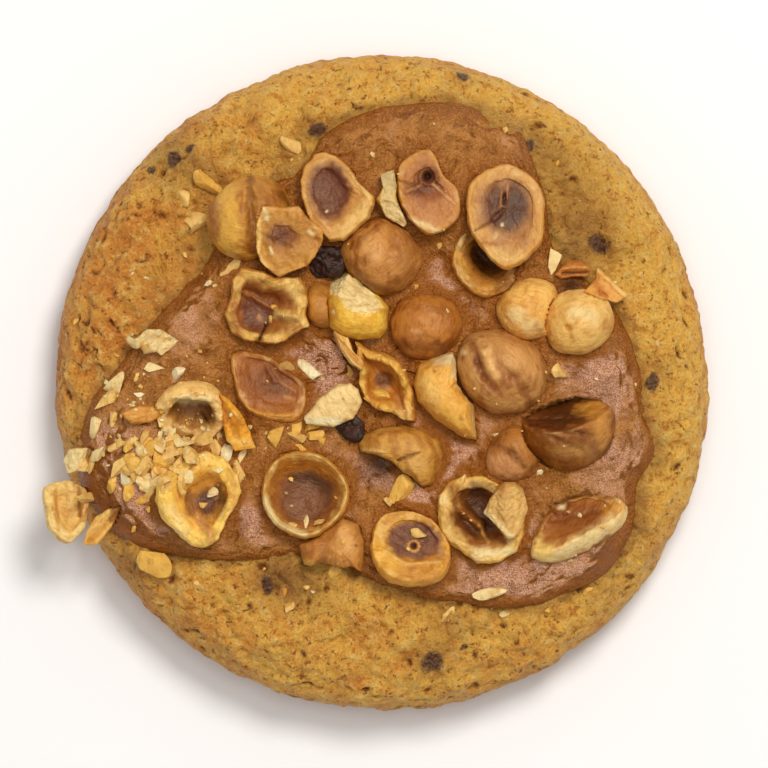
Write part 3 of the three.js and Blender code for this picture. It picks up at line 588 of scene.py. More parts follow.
def make_praline():
    edge_shares = [1 - 0.16 * (step / EDGE_RINGS) ** 1.4 for step in range(EDGE_RINGS)]
    top_shares = [*edge_shares, *np.linspace(0.84, 0, TOP_RINGS)]
    profile = [(share, -1) for share in (0, 0.4, 0.74, 0.9, 1)] + [(share, 1) for share in top_shares]
    pool = Form(spun(profile, PRALINE_SIDES))
    under = pool.co[:, 2] < 0
    share = np.hypot(pool.co[:, 0], pool.co[:, 1])
    angle = np.arctan2(pool.co[:, 1], pool.co[:, 0])
    reach = share * praline_reach(angle)
    x = PRALINE_CENTRE[0] + reach * np.cos(angle)
    y = PRALINE_CENTRE[1] + reach * np.sin(angle)
    floor = crust_height(x, y) - PRALINE_DEPTH - (EDGE_DEPTH - PRALINE_DEPTH) * ease(share, 0.75, 1)
    top = praline_height(x, y, share) + 0.18 * ease(1 - share, 0, 0.04) * rough(flat(x, y), 1.1, 3, 4.4)
    pool.co = np.stack((x, y, np.where(under, floor, top)), axis=1)
    pool.masks["level"] = ease(pool.normals()[:, 2], 0.7, 0.97)
    # Where the painted sheen of the light's reflection shows.
    pool.masks["painted_sheen"] = np.clip(hills(PAINTED_SHEEN_PARTS, x, y), 0, 1)
    pool.masks["crevice"] = np.clip(hills(SHADED, x, y), 0, 1)
    runny = 0.07 + 0.03 * rough(flat(x, y), 4, 2)
    pool.masks["amber"] = 0.75 * (1 - ease(1 - share, 0.3 * runny, runny))
    pool.piece("praline_pool", praline_material(), "praline", "praline")
    return pool


def soak_and_shade_crust():
    """Darkens the crust beside the praline to a dull olive, partly as soaked-in oil and partly as painted
    shade, and paints shade into the seam where they meet.
    """
    x, y, z = CRUST.co.T
    beside = (praline_share(x, y) - 1) * 38 + 0.5 * rough(flat(x, y), 2.5, 2)
    soaked_and_shaded = (1 - ease(beside, 0.2, 2.2)) * ease(z, 12, 15)
    CRUST.masks["stain_and_shade"] = np.maximum(CRUST.masks["stain_and_shade"], 0.6 * soaked_and_shaded)
    # Painted shade in the seam where the praline meets the crust.
    seam_shade = 0.4 * (1 - ease(beside, 0, 0.7)) * ease(z, 12, 15)
    CRUST.masks["pit_shade"] = np.maximum(CRUST.masks["pit_shade"], seam_shade)
    CRUST.write()


POOL = make_praline()
soak_and_shade_crust()

# The shells of nuts
# Hollow halves of hazelnut that lie dome up and are broken open on one side. They show how every nut is
# set: it presses down what lies beneath it, and the praline rises a little round it.
#
# reaches are how far the outline lies from the middle, at each eighth of a turn from +X, or else the corners
# of the outline. gape is where the shell is broken open: the direction, the height as a share of the depth,
# and the width in degrees. The strokes are creases, ridges, crumbs and blushes, and some are painted
# shade, shadow or highlight.
NUT_SIDES = 144
PROFILE_STEPS = 6  # places on a spun profile's curve from one point to the next
JOINING_WIDTH = 0.7  # how far what lies below a nut's edge still meets the nut's side
CLEARANCE = 0.05
EDGE_CLEARANCE = 0.08
ABOVE_ALL = 60

PLUM = colour(92, 52, 40)
PURPLE = colour(112, 62, 44)
MAUVE = colour(136, 84, 58)
SLATE = colour(80, 50, 44)
# Near black, painted shade for the deepest holes, slits, cracks and crevices of the nuts.
RECESS_SHADE = colour(36, 18, 10)
UMBER = colour(92, 48, 18)
RUST = colour(140, 76, 28)
BRONZE = colour(166, 100, 42)
CARAMEL = colour(190, 122, 48)
HONEY = colour(210, 148, 62)
TAN = colour(216, 160, 92)
DUSKY = colour(200, 140, 88)
GOLD = colour(234, 184, 88)
STRAW = colour(236, 196, 120)
CREAM = colour(240, 216, 160)
CHALK = colour(240, 228, 190)

SHELLS = {
    "shell_01": dict(
        at=(3, -10.8), depth=5.8, gape=(225, 0.55, 55),
        reaches=[
            (6.2, -0.6), (5.6, 1.8), (3.6, 3.3), (0, 4.2), (-3.3, 3.9), (-5.9, 3), (-6.8, 1.5), (-6.5, 0.2),
            (-3.9, -0.4), (-1.8, -1.3), (0, -3), (1.2, -3.6), (3, -5.4), (4.5, -5), (5.6, -3),
        ],
        skin=colour(208, 152, 68), patch=colour(178, 118, 46),
        strokes=[
            (-0.9, -1.2, 2.4, 0, 0.2, 0.45, UMBER, 0.8), (-6.4, 0.2, -3, 0, 0.5, -0.1, STRAW, 0.6),
            (-3, 0, 0, -2.6, 0.4, -0.1, GOLD, 0.6), (0.6, -2.6, 2.8, -1.8, 1, 0, colour(222, 172, 96), 0.7),
            (-4, 3, 1, 3.4, 0.4, 0, BRONZE, 0.5),
        ],
    ),
    "shell_02": dict(
        at=(-7.4, -24.5), depth=5.6, gape=(262, 0.4, 70),
        reaches=[
            (4.7, 0), (3.6, 3), (1.2, 3.9), (-1.2, 2.7), (-3, 0.9), (-5.6, -0.3), (-4.7, -3.3), (-3.6, -3.6),
            (-2.1, -3), (-0.6, -3.4), (1.2, -3.9), (2.7, -3.6), (3.9, -4.5), (4.5, -3),
        ],
        skin=colour(204, 142, 70), patch=colour(176, 108, 46),
        strokes=[
            (-0.6, 3, -1.8, -2.2, 1.1, 0.5, BRONZE, 0.7),
            (1.4, 1.6, 2.6, -0.6, 1.1, -0.1, colour(232, 176, 110), 0.7),
            (-4.8, -2.8, -3.4, -3.2, 0.5, 0, GOLD, 0.7), (3.6, -3.4, 4.4, -4.2, 0.5, 0, CARAMEL, 0.7),
            (3.2, -0.4, 3.4, -0.5, 0.2, 0.1, UMBER, 0.7),
        ],
    ),
    "shell_03": dict(
        at=(9.2, -1.6), depth=6.4, gape=(20, 0.5, 50),
        reaches=[
            (2.5, 0.5), (2, 1.3), (1.9, 4.8), (1.4, 6.2), (-1.6, 5.4), (-3.9, 4.2), (-4.7, 1.3), (-3.9, -1.4),
            (-1.3, -4.1), (2.6, -6.7), (5.1, -7.3), (4.8, -5), (4.6, -2), (3, -0.4),
        ],
        skin=colour(238, 180, 84), patch=colour(222, 156, 66),
        strokes=[
            (-1, 5, 1.4, 5.4, 0.9, 0.1, CHALK, 0.9), (1.4, 5.4, 1.6, 2.4, 0.5, 0.1, CREAM, 0.9),
            (1.9, 1.4, 4.2, -1.6, 0.3, 0, CREAM, 0.8), (4.5, -1.8, 4.8, -6.4, 0.3, 0, CREAM, 0.7),
            (-3.6, 3.4, -1, 5, 1.2, 0, HONEY, 0.5), (-1, 1.8, 2.2, -3, 1.6, 0, colour(244, 186, 84), 0.6),
            (-1.5, 3.3, -1.4, 3.2, 0.2, 0.1, RUST, 0.9), (2.7, -4, 2.9, -4.1, 0.3, 0.1, BRONZE, 0.8),
            (-2.6, 1.6, -1.6, -1, 1.2, 0, STRAW, 0.5),
        ],
    ),
}


def outline(reaches, angle):
    """How far an outline lies from its middle at an angle. It is given as reaches at even turns, which are
    joined by a smooth curve, or as corners, which are joined by straight lines."""
    corners = np.array(reaches, float)
    if corners.ndim == 1:
        turns = np.arange(len(corners)) * 2 * math.pi / len(corners)
        curve = smooth_curve(corners[:, None] * np.stack((np.cos(turns), np.sin(turns)), axis=1))
    else:
        runs = np.roll(corners, -1, axis=0) - corners
        steps = np.linspace(0, 1, CURVE_STEPS, endpoint=False)
        curve = np.concatenate([corners + t * runs for t in steps])
    return np.interp(angle, *bearings(curve), period=2 * math.pi)


def nut_material():
    shader = Shader("roasted hazelnut", {
        "Specular IOR Level": 0.55, "Specular Tint": (1, 0.86, 0.64, 1), "Subsurface Weight": 0.06,
        "Subsurface Scale": MM,
    })
    patch = shader.noise(2.2, 4, 0.65, shader.own(1, 1, 1))
    fine = shader.noise(0.35, 3, 0.65, shader.own(1, 1, 1))
    fibres = shader.noise(0.55, 4, 0.62, shader.own(1, 0.25, 1))
    tone = shader.mix(1.0, shader.tint("tint"), (0.97, 0.96, 0.87, 1), "MULTIPLY")
    browner = shader.mix(1.0, tone, (0.68, 0.48, 0.28, 1), "MULTIPLY")
    paler = shader.mix(1.0, tone, (1.12, 1.12, 1.14, 1), "MULTIPLY")
    tone = shader.mix(shader.ramp(fibres, 0.46, 0.3) * 0.6, tone, paler)
    tone = shader.mix(shader.ramp(patch, 0.44, 0.74) * 0.5, tone, browner)
    tone = shader.mix(shader.ramp(fibres, 0.52, 0.7) * 0.55, tone, browner)
    tone = shader.mix(shader.ramp(fine, 0.58, 0.72) * 0.5, tone, browner)
    relief = shader.bump(fine, 0.1, 0.9, shader.bump(fibres, 0.24, 0.9, shader.bump(patch, 0.35, 0.8)))
    return shader.finish({"Base Color": tone, "Roughness": 0.27 + 0.25 * patch, "Normal": relief})


HAZELNUT = nut_material()


def spun_smoothly(profile):
    """A form spun from a smooth curve through a profile's points, which meets the axis squarely."""
    points = np.array([(-profile[1][0], profile[1][1]), *profile, (-profile[-2][0], profile[-2][1])], float)
    curve = [curve_between(*span, t) for span in zip(points, points[1:], points[2:], points[3:])
             for t in np.arange(0, 1, 1 / PROFILE_STEPS)]
    return Form(spun([tuple(map(float, point)) for point in curve] + [profile[-1]], NUT_SIDES))


def nut_seed(index):
    return 1.7 * index + 0.6


def mark(nut, seed):
    """Gives a nut markings of its own, whose fibres run along a direction of its own."""
    nut.own = nut.co @ np.array(Matrix.Rotation(2.3 * seed, 3, "Z")) + 7 * seed


def skin_nut(nut, spec, seed):
    mark(nut, seed)
    fibre = rough(nut.co * (1, 0.35, 1), 0.8, 3, seed)
    blotch = rough(nut.co, 3.2, 2, seed)
    nut.dye(np.ones(len(nut.co)), spec["skin"])
    nut.dye(ease(0.6 * blotch + 0.35 * fibre, -0.05, 0.7), spec["patch"])


def settle(nut, at, lean, node):
    """Leans a nut towards a compass angle by so many degrees, and puts it where its node lies."""
    tilt, towards = map(math.radians, lean)
    axis = Vector((-math.sin(towards), math.cos(towards), 0))
    nut.co = nut.co @ np.array(Matrix.Rotation(tilt, 3, axis)).T
    nut.co += (*at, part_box(node)[0].z / MM - nut.co[:, 2].min())


def smear(nut, reach=0.8, height=0.4):
    """Colours the foot of a nut with the praline that it is pressed into."""
    x, y, z = nut.co.T
    above = z - surface_height(x, y) - height - 0.5 * rough(nut.co, 1.3, 2)
    nut.dye(0.85 * (1 - nut.inside) * (1 - ease(above, 0, reach)), colour(142, 86, 22))


def squeeze_up(at, reaches):
    """Raises the praline in a low collar round a nut, which is amber with oil."""
    away_x, away_y = POOL.co[:, 0] - at[0], POOL.co[:, 1] - at[1]
    gap = np.hypot(away_x, away_y) - outline(reaches, np.arctan2(away_y, away_x))
    POOL.co[:, 2] += 0.6 * POOL.masks["level"] * np.exp(-((np.clip(gap, -3, 9) / 1.2) ** 2))
    oily = 1.5 + 0.9 * rough(POOL.co, 2.5, 2)
    collar = 0.85 * np.exp(-((np.clip(gap, 0, 9) / oily) ** 2))
    POOL.masks["amber"] = np.maximum(POOL.masks["amber"], collar)


def press_down(nut):
    """Presses what was laid before a nut down to its underside. At the nut's edge it stays, and so meets
    the nut's side."""
    low, high = nut.co.min(axis=0), nut.co.max(axis=0)
    middle = (low + high)[:2] / 2
    tree = nut.search_tree()
    for below in Form.laid:
        inside = (below.co[:, :2] > low[:2]) & (below.co[:, :2] < high[:2])
        near = np.flatnonzero(inside.all(axis=1) & (below.co[:, 2] > low[2]))
        for index in near:
            x, y, z = below.co[index]
            underside = tree.ray_cast(Vector((x, y, 0)), Vector((0, 0, 1)))[0]
            if not underside:
                continue
            away = below.co[index, :2] - middle
            x_out, y_out = below.co[index, :2] + away * JOINING_WIDTH / (np.linalg.norm(away) + 1e-6)
            if tree.ray_cast(Vector((x_out, y_out, 0)), Vector((0, 0, 1)))[0]:
                below.co[index, 2] = min(z, underside.z - CLEARANCE)
            else:
                upper_side = tree.ray_cast(Vector((x, y, ABOVE_ALL)), Vector((0, 0, -1)))[0]
                below.co[index, 2] = min(z, upper_side.z - EDGE_CLEARANCE)
        if len(near):
            below.write()


def shell_form(spec, seed):
    """A thick dome whose rim is lifted where it is broken open. Heights are shares of its depth."""
    nut = spun_smoothly([
        (0, 0.72), (0.4, 0.7), (0.66, 0.56), (0.78, 0.3), (0.82, 0.06), (0.9, 0), (0.98, 0.06), (1, 0.25),
        (0.93, 0.55), (0.72, 0.82), (0.4, 0.96), (0, 1),
    ])
    x, y, z = nut.co.T
    angle = np.arctan2(y, x)
    reach = np.hypot(x, y) * outline(spec["reaches"], angle)
    direction, lift, width = spec["gape"]
    off = np.abs((np.degrees(angle) - direction + 180) % 360 - 180)
    jags = 0.12 * rough(flat(9 * np.cos(angle), 9 * np.sin(angle)), 1, 2, seed)
    gape = (lift + jags) * (1 - ease(off, 0.6 * width, width))
    height = (z + gape * (1 - z)) * spec["depth"]
    nut.co = np.stack((reach * np.cos(angle), reach * np.sin(angle), height), axis=1)
    return nut


def make_shells():
    for index, (node, spec) in enumerate(SHELLS.items()):
        seed = nut_seed(index)
        nut = shell_form(spec, seed)
        skin_nut(nut, spec, seed)
        nut.dye(ease(-nut.normals()[:, 2], 0.0, 0.4), BRONZE)
        settle(nut, spec["at"], (0, 0), node)
        nut.strokes(spec["at"], spec["strokes"])
        nut.swell(0.06 * rough(nut.co, 0.9, 3, seed))
        smear(nut)
        squeeze_up(spec["at"], spec["reaches"])
        press_down(nut)
        nut.piece(f"hazelnut_{node}", HAZELNUT, "hazelnut", node)


make_shells()

# The whole hazelnuts
# Roasted kernels that lost most of their skin, so they are golden with brown patches. Their seams show as
# grooves. They are sunk in the praline.
KERNELS = {
    "kernel_01": dict(
        at=(-20.3, 25), reaches=(6.4, 6.8, 6.7, 6.2, 6.6, 6.8, 6.4, 5.8), height=12.4,
        skin=colour(208, 148, 58), patch=colour(164, 96, 30),
        strokes=[
            (-0.1, 6.6, 0.4, -5, 0.7, 0.8, colour(126, 72, 20), 0.8),
            (1.4, 5, 1.8, -3, 1.4, 0, colour(150, 90, 30), 0.4),
            # A painted highlight along the raised left flank.
            (-3.8, 4, -3.0, -3.9, 1.8, -0.2, colour(236, 184, 80), 0.8),
            (-6, 2.4, -5.8, -2.4, 1, 0, BRONZE, 0.6), (3, 4.6, 4.6, -2, 2.2, 0, colour(160, 96, 34), 0.5),
            (4.7, 3.5, 6.6, 1.6, 0.6, 0.4, UMBER, 0.5), (-3.3, -5.6, -3, -6, 0.9, 0, STRAW, 0.6),
        ],
    ),
    "kernel_02": dict(
        at=(-0.6, 19.4), reaches=(6.7, 5.3, 5.8, 5.5, 5.95, 5.2, 6.1, 6.3), height=11.6,
        skin=colour(206, 142, 72), patch=colour(150, 84, 28),
        strokes=[
            (1.8, 4.8, 2.4, 1.6, 0.9, 0.3, BRONZE, 0.6), (2.4, 1.6, 0.8, -2, 0.9, 0.2, BRONZE, 0.4),
            (4.6, 2, 4, -3.6, 1.9, 0, colour(156, 96, 46), 0.6),
            # Painted shade along the lower side.
            (-3, -4.6, 2, -5.6, 1.6, 0, colour(116, 64, 18), 0.7),
            # A painted highlight left of the middle.
            (-1.4, 1.8, -0.6, -0.6, 1.2, -0.1, colour(224, 168, 104), 0.5),
        ],
    ),
    "kernel_03": dict(
        at=(6.7, 8.4), reaches=(5.5, 5.4, 5.05, 5.6, 5.7, 5.5, 4.9, 5.0), height=10,
        skin=colour(194, 124, 52), patch=colour(146, 78, 18),
        strokes=[
            # A painted highlight.
            (-0.6, 2.9, 0.9, 2.3, 0.5, -0.1, colour(222, 160, 100), 0.6),
            (-3, -0.2, 1, -2, 0.6, 0.12, RUST, 0.4),
            # A painted highlight.
            (-2.2, -0.5, -1.2, -0.8, 0.4, -0.1, colour(222, 160, 100), 0.6),
            (-2.6, 3.4, 2.4, 2.4, 0.7, 0.1, RUST, 0.4),
            # Painted shade along the lower side and the right side.
            (-4, -2.8, 3.6, -3.6, 1.3, 0, colour(120, 60, 12), 0.6), (2.6, 2.4, 4, -1, 1.2, 0, RUST, 0.4),
        ],
    ),
    "kernel_04": dict(
        at=(18, 2), reaches=(7, 6.1, 6.1, 7.4, 6.8, 6.5, 7, 7.4), height=12.4,
        skin=colour(200, 144, 82), patch=colour(160, 98, 42),
        strokes=[
            (-4.7, 3.9, -3.6, 1.2, 0.8, 0.5, colour(132, 74, 32), 0.8),
            (-3.6, 1.2, -2.4, -1.5, 0.9, 0.6, colour(120, 64, 26), 0.9),
            (-2.4, -1.5, -1.2, -3, 0.8, 0.5, RUST, 0.8), (-3.2, 3.5, -0.6, 0.6, 0.5, 0.2, BRONZE, 0.3),
            (-0.9, 0.6, 1.8, -1.2, 0.7, 0.3, RUST, 0.6), (1.8, -1.2, 3.6, -3.6, 0.8, 0.4, RUST, 0.7),
            (3.6, -3.6, 4.5, -5.6, 0.7, 0.3, RUST, 0.6),
            (-2.4, 2.6, -1.2, -0.8, 0.9, -0.25, colour(240, 190, 124), 0.8),
            (1.4, 2.6, 5.2, -0.6, 1.4, 0, colour(218, 158, 92), 0.5),
            (-5.8, 0.6, -4.4, -3.4, 0.9, -0.1, TAN, 0.6), (-5.9, 2.7, -5.6, 2.4, 0.5, 0, CREAM, 0.6),
            (0.5, 5.2, 3.6, 3.8, 1.0, 0, BRONZE, 0.5),
        ],
    ),
    "kernel_05": dict(
        at=(21.9, 11), reaches=(4.8, 5.6, 4.75, 4.4, 4.75, 4.6, 4.7, 5.2), height=9.6,
        skin=colour(242, 188, 102), patch=colour(222, 158, 72),
        strokes=[(-2, -0.6, 0.6, -2.6, 1.4, -0.1, CREAM, 0.6), (1.4, -3, 2.2, -4, 0.7, 0.3, DUSKY, 0.5)],
    ),
    "kernel_06": dict(
        at=(30.2, 9.2), reaches=(5.05, 5.1, 4.9, 5.4, 5.5, 5.9, 5.05, 4.8), height=10,
        skin=colour(234, 186, 106), patch=colour(212, 156, 76),
        strokes=[
            (-2.1, -0.9, -2.0, -1.0, 0.45, 0.4, RUST, 0.8), (-2.1, -0.9, 0.4, 1.4, 0.35, 0.15, HONEY, 0.5),
            (-2.1, -0.9, -3.4, 1.2, 0.3, 0.15, HONEY, 0.5), (-2.1, -0.9, -1.4, -3.2, 0.3, 0.15, HONEY, 0.5),
            (-4.6, 2.6, -3.4, 4.2, 0.5, -0.3, STRAW, 0.6), (-1, 1.4, 1.6, 0.6, 1.2, 0, CREAM, 0.6),
        ],
    ),
    "kernel_07": dict(
        at=(-9.6, 11.3), reaches=(3, 3.2, 3.9, 3.4, 2.3, 2.6, 3.0, 3.4), height=7,
        skin=colour(184, 122, 50), patch=colour(146, 84, 28),
        strokes=[(-1, 2.6, -1.2, -1, 0.6, -0.1, HONEY, 0.5)],
    ),
    "kernel_08": dict(
        at=(19.8, -10.4), reaches=(4.2, 3.8, 3.8, 3.3, 3.8, 5.3, 4.9, 4.7), height=7.4,
        skin=colour(172, 110, 50), patch=colour(132, 76, 24),
        strokes=[
            (-3.4, 0.8, -0.6, -0.3, 0.6, 0.4, RUST, 0.6), (-0.6, -0.3, 1.4, -2.4, 0.6, 0.4, UMBER, 0.5),
            (-3, -1.8, -0.4, -3.4, 1.7, -0.2, colour(214, 154, 102), 0.8),
            (0.4, 2.6, 2.6, 0.2, 1.2, 0, CARAMEL, 0.6),
        ],
    ),
}


def pebble(reaches, height, seed, fullness=1.0, sides=NUT_SIDES):
    """A rounded lump with an outline of its own. Less fullness makes its top flatter and its side steeper."""
    bm = bmesh.new()
    bmesh.ops.create_uvsphere(bm, u_segments=sides, v_segments=sides // 2, radius=1)
    nut = Form(bm)
    x, y, z = nut.co.T
    angle = np.arctan2(y, x)
    out = np.hypot(x, y) ** fullness * outline(reaches, angle)
    bumps = 1 + 0.02 * rough(nut.co, 0.8, 2, seed)
    top = np.sign(z) * np.abs(z) ** fullness * height / 2
    nut.co = np.stack((out * np.cos(angle), out * np.sin(angle), top), axis=1) * bumps[:, None]
    return nut


def make_kernels():
    for index, (node, spec) in enumerate(KERNELS.items()):
        seed = nut_seed(index)
        nut = pebble(spec["reaches"], spec["height"], seed)
        skin_nut(nut, spec, seed)
        settle(nut, spec["at"], (0, 0), node)
        nut.strokes(spec["at"], spec["strokes"])
        nut.swell(0.1 * rough(nut.co, 2.2, 3, seed))
        smear(nut)
        squeeze_up(spec["at"], spec["reaches"])
        press_down(nut)
        nut.piece(f"hazelnut_{node}", HAZELNUT, "hazelnut", node)


make_kernels()

# The hazelnut halves
# Roasted hazelnuts that split along their seam and lie cut face up. Each has a toasted skin outside, a
# paler rim, and a cavity that roasted to a purple brown.
#
# lean tips the face by so many degrees towards a compass angle. hearts are the dark parts of the face: the
# middle, width and length of each. soft is how gently they fade.
STEEP_LEAN = 30  # from this many degrees on, a half stands out of the praline and raises no collar


def ring(x, y, radius, *stroke):
    """Strokes that go once round a place."""
    sides = 10
    turns = [2 * math.pi * step / sides for step in range(sides + 1)]
    corners = [(x + radius * math.cos(turn), y + radius * math.sin(turn)) for turn in turns]
    return [(*start, *end, *stroke) for start, end in zip(corners, corners[1:])]


